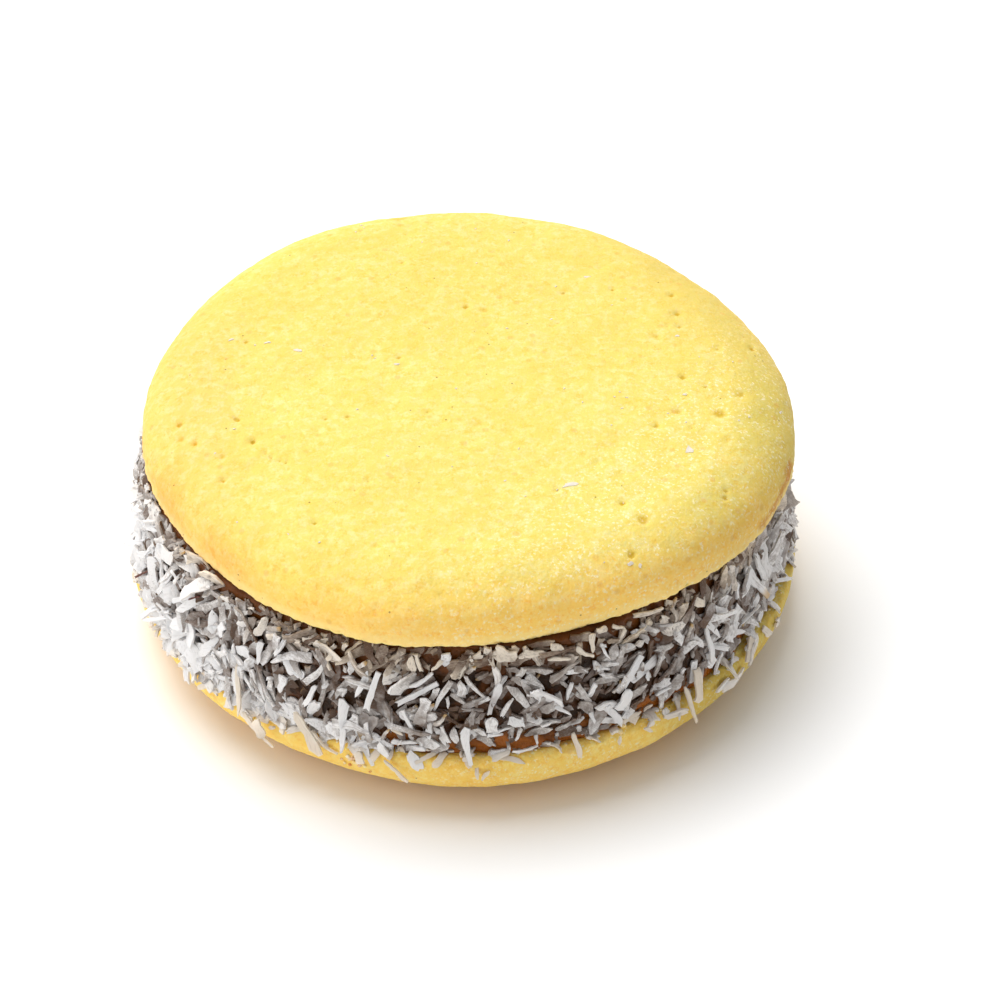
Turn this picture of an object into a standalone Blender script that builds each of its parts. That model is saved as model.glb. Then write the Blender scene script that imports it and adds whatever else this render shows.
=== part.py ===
# Cornstarch alfajor: two soft biscuits with a thick caramel filling between them,
# and long coconut shreds stuck all round the filling's side.
# Lengths below are millimetres and angles are degrees. The origin is the middle of the
# flat spot that the alfajor rests on, and the near side of the photograph is -Y.

import math
import random

import bmesh
import bpy
from mathutils import Matrix, Vector

MM = 0.001

# Both biscuits: a short upright rim, then a long round shoulder up to a low crown
CROWN_RISE = 0.9
SHOULDER_DEPTH = 7.2
CORNER_ROUND = 0.5
BISCUIT_STEPS = 64
SHOULDER_POINTS = 6
CROWN_RINGS = 3

BOTTOM_RADIUS = 33.0
BOTTOM_RIM = 1.9
BOTTOM_SHOULDER = 4.5
REST_RADIUS = 9.0

TOP_RADIUS = 31.3
TOP_RIM = 2.4
TOP_SHOULDER = 4.3
TOP_CREST_RADIUS = 6.0

# Slow waves of each outline: how many round it, share of the radius, and where the first peaks
BOTTOM_WAVES = ((2, 0.004, 190), (3, 0.009, 100), (4, 0.004, 28))
TOP_WAVES = ((2, 0.003, 0), (3, 0.014, -26), (4, 0.008, -44))
FILLING_WAVES = ((1, 0.014, -145), (2, 0.006, 175), (3, 0.005, 80), (5, 0.004, 20))
CROWN_SWELL = 0.16
CREST_DROP = 0.03

# Filling: a disc that bulges at half its height and tucks in under the top biscuit
FILLING_SPACE = 12.4
GAP = 0.3
FILLING_FOOT = 31.0
FILLING_BELLY = 31.4
FILLING_HEAD = 30.5
FILLING_STEPS = 72
FILLING_ROWS = 5
FILLING_DENT = 0.22

# Coconut: rows of flat shreds that lie on the filling, and a few that stand out of it
SEED = 41
LYING_ROWS = 4
LYING_PER_ROW = 38
LYING_LENGTH = (3.2, 5.4)
LYING_WIDTH = (1.0, 1.8)
STANDING_COUNT = 26
STANDING_LENGTH = (3.0, 4.2)
STANDING_WIDTH = (0.8, 1.1)
STANDING_REACH = 34.2
STANDING_ROOT = 0.6
STANDING_SPREAD = 3.4
SHRED_THICKNESS = 0.5
SHRED_SINK = 0.18
SHRED_CLEARANCE = 0.12
END_TAPER = 0.5

BOTTOM_TOP = BOTTOM_RIM + BOTTOM_SHOULDER + CROWN_RISE
FILLING_LOW = BOTTOM_TOP + GAP
FILLING_HIGH = BOTTOM_TOP + FILLING_SPACE - GAP
TOP_UNDERSIDE = BOTTOM_TOP + FILLING_SPACE


def wave(waves, angle):
    """Radius multiplier of a slightly uneven round outline, at an angle in radians."""
    total = 1.0
    for count, share, peak in waves:
        total += share * math.cos(count * angle - math.radians(peak))
    return total


def swell(x, y):
    """Low hills and hollows of a hand-rolled sheet of dough, between -1 and 1."""
    return 0.5 * math.sin(0.21 * x + 0.9) * math.cos(0.17 * y - 0.4) + 0.5 * math.sin(0.12 * x - 0.23 * y)


def belly(height):
    """Radius of the filling at a height, before its outline waves."""
    share = (height - FILLING_LOW) / (FILLING_HIGH - FILLING_LOW)
    straight = FILLING_FOOT + (FILLING_HEAD - FILLING_FOOT) * share
    middle = 0.5 * (FILLING_FOOT + FILLING_HEAD)
    return straight + (FILLING_BELLY - middle) * math.sin(math.pi * share)


def filling_radius(angle, height):
    """Radius of the filling's dented side at an angle and a height."""
    dents = math.sin(7 * angle + 0.9 * height) + math.sin(11 * angle - 0.6 * height + 1.0)
    return belly(height) * wave(FILLING_WAVES, angle) + 0.5 * FILLING_DENT * dents


def material(name, colour, roughness):
    made = bpy.data.materials.new(name)
    made.use_nodes = True
    shader = made.node_tree.nodes["Principled BSDF"]
    shader.inputs["Base Color"].default_value = (*colour, 1.0)
    shader.inputs["Roughness"].default_value = roughness
    return made


def add_object(name, mesh, collection):
    made = bpy.data.objects.new(name, mesh)
    collection.objects.link(made)
    return made


def applied_mesh(made):
    """Mesh of an object with its modifiers applied, which takes the object's place."""
    evaluated = made.evaluated_get(bpy.context.evaluated_depsgraph_get())
    return bpy.data.meshes.new_from_object(evaluated)


def turned(name, profile, steps, collection):
    """Solid turned from a profile that runs from the upper axis down its outer side."""
    mesh = bpy.data.meshes.new(name)
    points = [(radius * MM, 0.0, height * MM) for radius, height in profile]
    edges = [(i, i + 1) for i in range(len(points) - 1)]
    mesh.from_pydata(points, edges, [])
    made = add_object(name, mesh, collection)
    screw = made.modifiers.new("turn", "SCREW")
    screw.axis = "Z"
    screw.steps = steps
    screw.render_steps = steps
    screw.use_merge_vertices = True
    screw.merge_threshold = 0.00001
    bpy.context.view_layer.update()
    made.data = applied_mesh(made)
    made.modifiers.clear()
    bpy.data.meshes.remove(mesh)
    return made


def biscuit_profile(radius, rim, shoulder, flat_radius):
    """Biscuit with its flat face at height 0 and its crown up, from the crown's middle out."""
    crown_edge = radius - SHOULDER_DEPTH
    spring = rim + shoulder
    points = [(0.0, spring + CROWN_RISE)]
    for i in range(CROWN_RINGS):
        share = i / CROWN_RINGS
        at = flat_radius + (crown_edge - flat_radius) * share
        points.append((at, spring + CROWN_RISE * (1.0 - share**2)))
    for i in range(SHOULDER_POINTS, -1, -1):
        turn = 0.5 * math.pi * i / SHOULDER_POINTS
        inset = SHOULDER_DEPTH * (1.0 - math.cos(turn))
        points.append((radius - inset, rim + shoulder * math.sin(turn)))
    points.append((radius, CORNER_ROUND))
    points.append((radius - CORNER_ROUND, 0.0))
    points.append((0.0, 0.0))
    return points


def shape_biscuit(made, waves, side, rest_radius):
    """Gives a biscuit its uneven outline, and low hills on its crown, which faces up at side 1."""
    crest = max(side * vertex.co.z for vertex in made.data.vertices) / MM
    for vertex in made.data.vertices:
        x, y, z = (value / MM for value in vertex.co)
        rise = side * z
        reach = math.hypot(x, y)
        stretch = wave(waves, math.atan2(y, x)) if reach > 0.0 else 1.0
        if rise > CORNER_ROUND and reach > rest_radius + 0.01:
            rise += CROWN_SWELL * swell(x, y)
            if rest_radius > 0.0:
                rise = min(rise, crest - CREST_DROP)
        vertex.co = Vector((x * stretch, y * stretch, side * rise)) * MM


def smooth(made):
    made.data.shade_smooth()
    made.data.set_sharp_from_angle(angle=math.radians(50))


def make_top_biscuit(collection):
    profile = biscuit_profile(TOP_RADIUS, TOP_RIM, TOP_SHOULDER, TOP_CREST_RADIUS)
    made = turned("top_biscuit", profile, BISCUIT_STEPS, collection)
    shape_biscuit(made, TOP_WAVES, 1, 0.0)
    made.data.transform(Matrix.Translation((0.0, 0.0, TOP_UNDERSIDE * MM)))
    made.data.materials.append(material("baked_dough", (0.93, 0.76, 0.22), 0.75))
    smooth(made)


def make_bottom_biscuit(collection):
    """The same biscuit turned over, with its crown pressed flat where it rests."""
    profile = biscuit_profile(BOTTOM_RADIUS, BOTTOM_RIM, BOTTOM_SHOULDER, REST_RADIUS)
    made = turned("bottom_biscuit", profile, BISCUIT_STEPS, collection)
    made.data.transform(Matrix.Rotation(math.pi, 4, "X"))
    shape_biscuit(made, BOTTOM_WAVES, -1, REST_RADIUS)
    made.data.transform(Matrix.Translation((0.0, 0.0, BOTTOM_TOP * MM)))
    made.data.materials.append(material("baked_dough_shaded", (0.88, 0.67, 0.18), 0.75))
    smooth(made)


def make_core(collection):
    """The filling without its coconut."""
    rows = [FILLING_HIGH - (FILLING_HIGH - FILLING_LOW) * i / FILLING_ROWS for i in range(FILLING_ROWS + 1)]
    profile = [(0.0, FILLING_HIGH)]
    profile += [(belly(height), height) for height in rows]
    profile.append((0.0, FILLING_LOW))
    made = turned("filling", profile, FILLING_STEPS, collection)
    for vertex in made.data.vertices:
        x, y, z = (value / MM for value in vertex.co)
        if math.hypot(x, y) > 0.01:
            angle = math.atan2(y, x)
            radius = filling_radius(angle, z)
            vertex.co = Vector((radius * math.cos(angle), radius * math.sin(angle), z)) * MM
    return made


def shred_mesh(length, width, bow, curl):
    """Flat strip along X, narrower at both ends, bent sideways by bow and out of flat by curl."""
    bm = bmesh.new()
    bmesh.ops.create_cube(bm, size=1.0)
    long_edges = [e for e in bm.edges if abs(e.verts[0].co.x - e.verts[1].co.x) > 0.5]
    bmesh.ops.subdivide_edges(bm, edges=long_edges, cuts=2, use_grid_fill=True)
    for v in bm.verts:
        along = 2.0 * v.co.x
        across = v.co.y * width * (1.0 - END_TAPER * along**2)
        v.co.x = 0.5 * length * along
        v.co.y = across + bow * (1.0 - along**2)
        v.co.z = v.co.z * SHRED_THICKNESS + curl * along**2
    mesh = bpy.data.meshes.new("shred")
    bm.to_mesh(mesh)
    bm.free()
    return mesh


def side_frame(angle, slant, lift):
    """Axes of a shred on the filling's side: along it, across it, and out of its flat."""
    out = Vector((math.cos(angle), math.sin(angle), 0.0))
    round_side = Vector((-math.sin(angle), math.cos(angle), 0.0))
    flat_along = math.cos(slant) * round_side + math.sin(slant) * Vector((0.0, 0.0, 1.0))
    across = out.cross(flat_along)
    along = math.cos(lift) * flat_along + math.sin(lift) * out
    return along, across, along.cross(across)


def place(mesh, axes, middle):
    """Moves a shred's mesh to its place, then up or down until it clears both biscuits."""
    along, across, out = axes
    mesh.transform(Matrix((along, across, out)).transposed().to_4x4())
    mesh.transform(Matrix.Translation(middle))
    heights = [vertex.co.z for vertex in mesh.vertices]
    low = FILLING_LOW + SHRED_CLEARANCE
    high = FILLING_HIGH - SHRED_CLEARANCE
    shift = max(0.0, low - min(heights)) - max(0.0, max(heights) - high)
    mesh.transform(Matrix.Translation((0.0, 0.0, shift)))
    mesh.transform(Matrix.Scale(MM, 4))


def lying_shreds(draw):
    """Shreds flat on the side, evenly spaced with a little play, the longest in the middle rows."""
    step = 2.0 * math.pi / LYING_PER_ROW
    spacing = (FILLING_HIGH - FILLING_LOW) / LYING_ROWS
    for row in range(LYING_ROWS):
        for column in range(LYING_PER_ROW):
            angle = step * (column + 0.5 * (row % 2) + draw.uniform(-0.25, 0.25))
            height = FILLING_LOW + spacing * (row + 0.5 + draw.uniform(-0.2, 0.2))
            slant = math.radians(draw.uniform(-80, 80))
            mesh = shred_mesh(
                draw.uniform(*LYING_LENGTH),
                draw.uniform(*LYING_WIDTH),
                draw.uniform(-0.4, 0.4),
                draw.uniform(-0.1, 0.35),
            )
            reach = filling_radius(angle, height) + 0.5 * SHRED_THICKNESS - SHRED_SINK
            middle = Vector((reach * math.cos(angle), reach * math.sin(angle), height))
            place(mesh, side_frame(angle, slant, math.radians(draw.uniform(-4, 9))), middle)
            yield mesh


def standing_shreds(draw):
    """Shreds with one end in the filling and the other standing out past the biscuits."""
    step = 2.0 * math.pi / STANDING_COUNT
    middle_height = 0.5 * (FILLING_LOW + FILLING_HIGH)
    for i in range(STANDING_COUNT):
        angle = step * (i + draw.uniform(-0.3, 0.3))
        height = middle_height + draw.uniform(-STANDING_SPREAD, STANDING_SPREAD)
        length = draw.uniform(*STANDING_LENGTH)
        slant = math.radians(draw.uniform(-180, 180))
        mesh = shred_mesh(length, draw.uniform(*STANDING_WIDTH), 0.25, draw.uniform(-0.3, 0.3))
        root = filling_radius(angle, height) - STANDING_ROOT
        rise = min(0.5 * math.pi, math.asin(min(1.0, (STANDING_REACH - root) / length)))
        axes = side_frame(angle, slant, rise)
        foot = Vector((root * math.cos(angle), root * math.sin(angle), height))
        place(mesh, axes, foot + 0.5 * length * axes[0])
        yield mesh


def islands(bm):
    """Groups of vertices that edges join."""
    left = set(bm.verts)
    while left:
        group = {left.pop()}
        front = list(group)
        while front:
            vertex = front.pop()
            near = {edge.other_vert(vertex) for edge in vertex.link_edges} & left
            left -= near
            group |= near
            front += near
        yield group


def keep_largest_body(mesh):
    """Drops loose scraps and the walls of sealed hollows, which fills the hollows."""
    bm = bmesh.new()
    bm.from_mesh(mesh)
    groups = sorted(islands(bm), key=len)
    spare = [vertex for group in groups[:-1] for vertex in group]
    bmesh.ops.delete(bm, geom=spare, context="VERTS")
    bm.to_mesh(mesh)
    bm.free()


def make_filling(collection):
    """The filling with its shreds joined on by one union."""
    core = make_core(collection)
    shreds = bpy.data.collections.new("coconut_shreds")
    bpy.context.scene.collection.children.link(shreds)
    draw = random.Random(SEED)
    for mesh in [*lying_shreds(draw), *standing_shreds(draw)]:
        add_object("shred", mesh, shreds)
    join = core.modifiers.new("join", "BOOLEAN")
    join.operation = "UNION"
    join.solver = "MANIFOLD"
    join.operand_type = "COLLECTION"
    join.collection = shreds
    bpy.context.view_layer.update()
    core.data = applied_mesh(core)
    core.modifiers.clear()
    for made in list(shreds.objects):
        bpy.data.objects.remove(made)
    bpy.data.collections.remove(shreds)
    keep_largest_body(core.data)
    core.data.materials.clear()
    core.data.materials.append(material("caramel_and_coconut", (0.42, 0.36, 0.31), 0.6))


def main():
    for old in list(bpy.data.objects):
        bpy.data.objects.remove(old)
    collection = bpy.data.collections.new("cornstarch_alfajor")
    bpy.context.scene.collection.children.link(collection)
    make_bottom_biscuit(collection)
    make_filling(collection)
    make_top_biscuit(collection)


main()
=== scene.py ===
import math
import random

import bpy
from mathutils import Matrix, Vector
from mathutils.bvhtree import BVHTree
from mathutils.kdtree import KDTree


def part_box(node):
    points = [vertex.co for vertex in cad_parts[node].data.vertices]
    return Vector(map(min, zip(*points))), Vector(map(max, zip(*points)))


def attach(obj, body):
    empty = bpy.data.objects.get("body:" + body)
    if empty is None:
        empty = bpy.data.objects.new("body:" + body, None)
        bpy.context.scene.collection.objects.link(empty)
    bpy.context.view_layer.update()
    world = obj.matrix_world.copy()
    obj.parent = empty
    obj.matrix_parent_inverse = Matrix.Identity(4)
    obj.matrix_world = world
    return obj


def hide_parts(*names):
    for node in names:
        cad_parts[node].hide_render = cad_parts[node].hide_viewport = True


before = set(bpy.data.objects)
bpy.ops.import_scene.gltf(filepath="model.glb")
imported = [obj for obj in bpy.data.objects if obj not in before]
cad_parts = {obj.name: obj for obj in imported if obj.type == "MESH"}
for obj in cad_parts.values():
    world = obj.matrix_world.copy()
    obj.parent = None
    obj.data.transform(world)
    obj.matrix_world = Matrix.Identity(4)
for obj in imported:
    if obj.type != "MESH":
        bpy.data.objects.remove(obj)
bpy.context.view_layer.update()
print("frame loaded:", ", ".join(sorted(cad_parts)))

# Lengths below are in millimetres and angles in degrees; 0 degrees is +X and -90 faces the camera.
mm = 0.001
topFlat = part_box("top_biscuit")[0].z / mm
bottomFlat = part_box("bottom_biscuit")[1].z / mm
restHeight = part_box("bottom_biscuit")[0].z


# Small helpers

def screenColour(red, green, blue):
    # a colour as a screen shows it, 0 to 255, turned into the linear one that shaders take
    def linear(value):
        share = value / 255
        return share / 12.92 if share <= 0.04045 else ((share + 0.055) / 1.055) ** 2.4
    return (linear(red), linear(green), linear(blue), 1.0)


def easeBetween(low, high, value):
    share = min(1.0, max(0.0, (value - low) / (high - low)))
    return share * share * (3 - 2 * share)


def angleBetween(first, second):
    return abs((first - second + 180) % 360 - 180)


def wave(waves, angle):
    # share by which an outline stands out from its circle; each wave is count, height and peak
    return 1 + sum(share * math.cos(count * angle - math.radians(peak)) for count, share, peak in waves)


def outwardAt(angle):
    return Vector((math.cos(angle), math.sin(angle), 0))


def sidewaysAt(angle):
    return Vector((-math.sin(angle), math.cos(angle), 0))


def clearSelection():
    if bpy.context.mode != "OBJECT":
        bpy.ops.object.mode_set(mode="OBJECT")
    bpy.ops.object.select_all(action="DESELECT")


def nameNew(name):
    piece = bpy.context.object
    piece.name = name
    piece.data.name = name
    return piece


def editAll():
    bpy.ops.object.mode_set(mode="EDIT")
    bpy.ops.mesh.select_all(action="SELECT")


def applyModifier(piece, kind, **settings):
    clearSelection()
    piece.select_set(True)
    bpy.context.view_layer.objects.active = piece
    modifier = piece.modifiers.new(kind.lower(), kind)
    for key, value in settings.items():
        setattr(modifier, key, value)
    bpy.ops.object.modifier_apply(modifier=modifier.name)


def applyRelief(piece, layers, **settings):
    # each layer is a texture of clouds: the size of its lumps and the height between them
    for size, height in layers:
        texture = bpy.data.textures.new(f"{piece.name}Clouds", "CLOUDS")
        texture.noise_scale = size * mm
        texture.noise_depth = 1
        applyModifier(piece, "DISPLACE", texture=texture, texture_coords="LOCAL", strength=height * mm,
                      mid_level=0.5, **settings)


def growDisc(name, steps, rings):
    # a disc that grows from ring to ring into a closed solid; each ring is radius and height
    clearSelection()
    radius, height = rings[0]
    bpy.ops.mesh.primitive_circle_add(vertices=steps, radius=radius * mm, fill_type="NGON",
                                      location=(0, 0, height * mm))
    piece = nameNew(name)
    bpy.ops.object.transform_apply(location=True)
    editAll()
    for (radius, height), (nextRadius, nextHeight) in zip(rings, rings[1:]):
        rise = (nextHeight - height) * mm
        bpy.ops.mesh.extrude_region_move(TRANSFORM_OT_translate={"value": (0, 0, rise)})
        share = nextRadius / radius
        bpy.ops.transform.resize(value=(share, share, 1), center_override=(0, 0, nextHeight * mm))
    bpy.ops.mesh.select_all(action="SELECT")
    bpy.ops.mesh.normals_make_consistent(inside=False)
    bpy.ops.object.mode_set(mode="OBJECT")
    return piece


def setFloatAttribute(piece, name, values):
    attribute = piece.data.attributes.get(name) or piece.data.attributes.new(name, "FLOAT", "POINT")
    attribute.data.foreach_set("value", values)


def surfaceTree(piece):
    return BVHTree.FromObject(piece, bpy.context.evaluated_depsgraph_get())


def dressPiece(piece, material, slot, *nodes):
    piece.data.materials.clear()
    piece.data.materials.append(material)
    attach(piece, "root")
    if nodes:
        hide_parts(*nodes)
    print(piece.name + ":", len(piece.data.polygons), "faces")


# Shader helpers

def feed(tree, socket, value):
    # a value is another node's output or a constant
    if isinstance(value, bpy.types.NodeSocket):
        tree.links.new(value, socket)
    else:
        socket.default_value = value


def addNode(tree, kind, settings=None, *values, **inputs):
    node = tree.nodes.new("ShaderNode" + kind)
    for key, value in (settings or {}).items():
        setattr(node, key, value)
    for socket, value in zip(node.inputs, values):
        feed(tree, socket, value)
    for key, value in inputs.items():
        feed(tree, node.inputs[key], value)
    return node


def doMath(tree, operation, *values):
    return addNode(tree, "Math", {"operation": operation}, *values).outputs[0]


def doVector(tree, operation, *values):
    node = addNode(tree, "VectorMath", {"operation": operation}, *values)
    return node.outputs["Value" if operation in ("DOT_PRODUCT", "LENGTH") else "Vector"]


def swayed(tree, base, noise, amount):
    # the base, moved up and down by a noise around its middle
    return doMath(tree, "MULTIPLY_ADD", doMath(tree, "SUBTRACT", noise, 0.5), amount, base)


def rangeMask(tree, value, low, high):
    # 0 below low, 1 above high, and soft between them
    return addNode(tree, "MapRange", {"interpolation_type": "SMOOTHSTEP"}, value, low, high).outputs["Result"]


def noiseAt(tree, vector, size, detail=3.0, roughness=0.5):
    # noise whose lumps are about size mm apart, on coordinates in mm
    return addNode(tree, "TexNoise", None, Vector=vector, Scale=1 / size, Detail=detail,
                   Roughness=roughness).outputs["Fac"]


def heightOf(tree, place):
    return addNode(tree, "SeparateXYZ", None, place).outputs["Z"]


def readAttribute(tree, name):
    return addNode(tree, "Attribute", {"attribute_name": name}).outputs["Fac"]


def mixColours(tree, mask, under, over, blend="MIX"):
    node = addNode(tree, "Mix", {"data_type": "RGBA", "blend_type": blend, "clamp_factor": True})
    for socket, value in ((node.inputs["Factor"], mask), (node.inputs[6], under), (node.inputs[7], over)):
        feed(tree, socket, value)
    return node.outputs[2]


def layColours(tree, colour, finish, *layers):
    # each layer is a colour of the finish, the mask where it lies and how strong it is there
    for over, mask, amount in layers:
        if amount != 1:
            mask = doMath(tree, "MULTIPLY", mask, amount)
        colour = mixColours(tree, mask, colour, screenColour(*finish[over]))
    return colour


def startGroup(name, inputs):
    # an input is a float, or a vector where its value is a vector or None
    group = bpy.data.node_groups.new(name, "ShaderNodeTree")
    for label, value in inputs.items():
        kind = "NodeSocketFloat" if isinstance(value, float) else "NodeSocketVector"
        socket = group.interface.new_socket(name=label, in_out="INPUT", socket_type=kind)
        if value is not None:
            socket.default_value = value
    return group, group.nodes.new("NodeGroupInput").outputs


def endGroup(group, **outputs):
    for label in outputs:
        group.interface.new_socket(name=label, in_out="OUTPUT", socket_type="NodeSocketFloat")
    leave = group.nodes.new("NodeGroupOutput")
    for label, value in outputs.items():
        group.links.new(value, leave.inputs[label])
    return group


def placeGroup(tree, group, **inputs):
    return addNode(tree, "Group", {"node_tree": group}, **inputs).outputs


def startMaterial(name):
    material = bpy.data.materials.new(name)
    material.use_nodes = True
    tree = material.node_tree
    tree.nodes.clear()
    shader = addNode(tree, "BsdfPrincipled")
    addNode(tree, "OutputMaterial", None, Surface=shader.outputs["BSDF"])
    coordinates = addNode(tree, "TexCoord").outputs["Object"]
    place = addNode(tree, "VectorMath", {"operation": "SCALE"}, coordinates, Scale=1 / mm).outputs["Vector"]
    return material, tree, shader, place


def finishSurface(tree, shader, colour, grain, height, surface):
    # grain varies the roughness, from its smoothest by a spread, and height is what the bump shows
    spread, smoothest = surface["roughness"]
    strength, depth = surface["bump"]
    weight, radius = surface["scatter"]
    bump = addNode(tree, "Bump", None, Height=height, Strength=strength, Distance=depth * mm)
    for name, value in (("Base Color", colour), ("Normal", bump.outputs["Normal"]),
                        ("Roughness", doMath(tree, "MULTIPLY_ADD", grain, spread, smoothest)),
                        ("Specular IOR Level", surface["shine"]), ("Subsurface Weight", weight),
                        ("Subsurface Radius", radius), ("Subsurface Scale", mm)):
        feed(tree, shader.inputs[name], value)


# Effects that several materials use

def makeDoughMottle():
    group, enter = startGroup("doughMottle", {"Place": None, "Cloud Size": 5.0})
    place = enter["Place"]
    shrink = doMath(group, "DIVIDE", 1.0, enter["Cloud Size"])
    clouds = addNode(group, "TexNoise", None, Vector=place, Scale=shrink, Detail=3.0, Roughness=0.6)
    aside = doVector(group, "ADD", place, (17.0, 5.0, 31.0))
    fine = swayed(group, 0.0, noiseAt(group, place, 0.3, 2.0, 0.7), 0.6)
    pale = rangeMask(group, doMath(group, "ADD", noiseAt(group, place, 0.9, 2.0, 0.6), fine), 0.42, 0.72)
    deep = rangeMask(group, doMath(group, "SUBTRACT", noiseAt(group, aside, 0.9, 2.0, 0.5), fine), 0.54, 0.74)
    return endGroup(group, Pale=pale, Deep=deep, Tint=clouds.outputs["Fac"])


def makeSandGrain():
    group, enter = startGroup("sandGrain", {"Place": None, "Grain Size": 0.3})
    place = enter["Place"]
    shrink = doMath(group, "DIVIDE", 1.0, enter["Grain Size"])
    sand = addNode(group, "TexNoise", None, Vector=place, Scale=shrink, Detail=3.0, Roughness=0.65)
    cells = addNode(group, "TexVoronoi", None, Vector=place, Scale=shrink, Randomness=1.0)
    height = doMath(group, "MULTIPLY_ADD", cells.outputs["Distance"], -0.45, sand.outputs["Fac"])
    dots = addNode(group, "TexVoronoi", None, Vector=place, Scale=2.0, Randomness=1.0)
    chance = addNode(group, "SeparateColor", None, dots.outputs["Color"]).outputs["Red"]
    edge = doMath(group, "MULTIPLY_ADD", chance, -0.22, dots.outputs["Distance"])
    roundGrains = doMath(group, "MULTIPLY", rangeMask(group, edge, 0.2, 0.0), 0.6)
    flour = rangeMask(group, noiseAt(group, place, 0.34, 2.0, 0.6), 0.54, 0.7)
    clusters = rangeMask(group, noiseAt(group, place, 2.2, 2.0, 0.6), 0.3, 0.56)
    grains = doMath(group, "MULTIPLY", doMath(group, "MAXIMUM", roundGrains, flour), clusters)
    return endGroup(group, Height=height, Grains=grains)


def makeSpecks():
    group, enter = startGroup("bakedSpecks", {"Place": None, "Spacing": 3.0, "Radius": 0.1})
    shrink = doMath(group, "DIVIDE", 1.0, enter["Spacing"])
    cells = addNode(group, "TexVoronoi", None, Vector=enter["Place"], Scale=shrink)
    reach = doMath(group, "MULTIPLY", cells.outputs["Distance"], enter["Spacing"])
    inside = rangeMask(group, doMath(group, "DIVIDE", reach, enter["Radius"]), 1.0, 0.5)
    chance = addNode(group, "SeparateColor", None, cells.outputs["Color"]).outputs["Green"]
    kept = doMath(group, "GREATER_THAN", chance, 0.45)
    return endGroup(group, Mask=doMath(group, "MULTIPLY", inside, kept))


def makeBrowningAndGlowPatch():
    group, enter = startGroup("browningAndGlowPatch", {"Place": None, "Middle": (0.0, 0.0, 0.0),
                                               "Spread": (3.0, 3.0, 2.0)})
    offset = doVector(group, "SUBTRACT", enter["Place"], enter["Middle"])
    reach = doVector(group, "LENGTH", doVector(group, "DIVIDE", offset, enter["Spread"]))
    edge = swayed(group, reach, noiseAt(group, enter["Place"], 1.1, 3.0, 0.6), 1.3)
    return endGroup(group, Mask=rangeMask(group, edge, 1.0, 0.25))


doughMottle = makeDoughMottle()
sandGrain = makeSandGrain()
bakedSpecks = makeSpecks()
browningAndGlowPatch = makeBrowningAndGlowPatch()
print("shader groups made")


# The two biscuits

topFinish = {
    "crownPale": (228, 217, 145),
    "crown": (227, 207, 107),
    "crownDeep": (226, 194, 81),
    # painted shade: the colour the right side of the crown is darkened towards
    "shade": (206, 186, 92),
    "shoulder": (255, 207, 101),
    "shoulderDeep": (250, 181, 70),
    "foot": (255, 221, 138),
    # colour of the hollows: partly the pits' own deeper orange, partly painted shade
    "pore": (198, 158, 26),
    "brown": (210, 134, 40),
    "dot": (226, 172, 82),
    "grain": (250, 243, 208),
    "speck": (120, 92, 48),
    # how much shade is painted on the right side, and the heights between which the golden shoulder and the
    # foot begin
    "shadySide": 0.7,
    "shoulderSpan": (26.4, 22.6),
    "footSpan": (21.6, 20.6),
    # browned patches along the rim: middle, spread and strength
    "browned": (((31.2, -9.0, 22.0), (1.6, 2.2, 1.5), 0.8), ((30.7, -11.2, 21.5), (1.6, 2.2, 1.1), 0.8),
                ((29.8, -13.3, 21.3), (1.7, 2.2, 1.0), 0.75), ((28.8, -15.3, 21.2), (1.8, 2.2, 1.0), 0.7),
                ((-28.5, -13.0, 22.8), (4.5, 7.0, 3.0), 0.24), ((-22.5, -21.5, 22.8), (7.0, 4.5, 2.6), 0.2)),
    # soft washes multiplied in towards one side: which way, from and to how many mm out, and its colour; the
    # first, darker towards the right rim, is painted shade, and the others shift the hue a little on the left
    # side and towards the back
    "shadeAndTintWashes": (((0.93, -0.36, 0.0), 23.0, 34.0, (224, 226, 220)),
               ((-0.99, -0.1, 0.0), 18.0, 28.0, (255, 244, 251)),
               ((0.0, 1.0, 0.0), -6.0, 12.0, (255, 250, 246))),
    "surface": {"roughness": (0.12, 0.77), "bump": (0.55, 0.13), "shine": 0.25,
                "scatter": (0.18, (1.6, 1.0, 0.35))},
}

bottomFinish = dict(topFinish, crownPale=(252, 224, 136), crown=(250, 210, 104), crownDeep=(244, 190, 80),
                    shoulder=(255, 190, 22), shoulderDeep=(252, 168, 14), shadySide=0.0,
                    shoulderSpan=(3.4, 1.8), footSpan=(9.0, 10.0), browned=(),
                    # the lower biscuit's right rim is darkened by a wash of painted shade
                    shadeAndTintWashes=(((0.93, -0.36, 0.0), 25.0, 30.5, (216, 223, 214)),))


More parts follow.
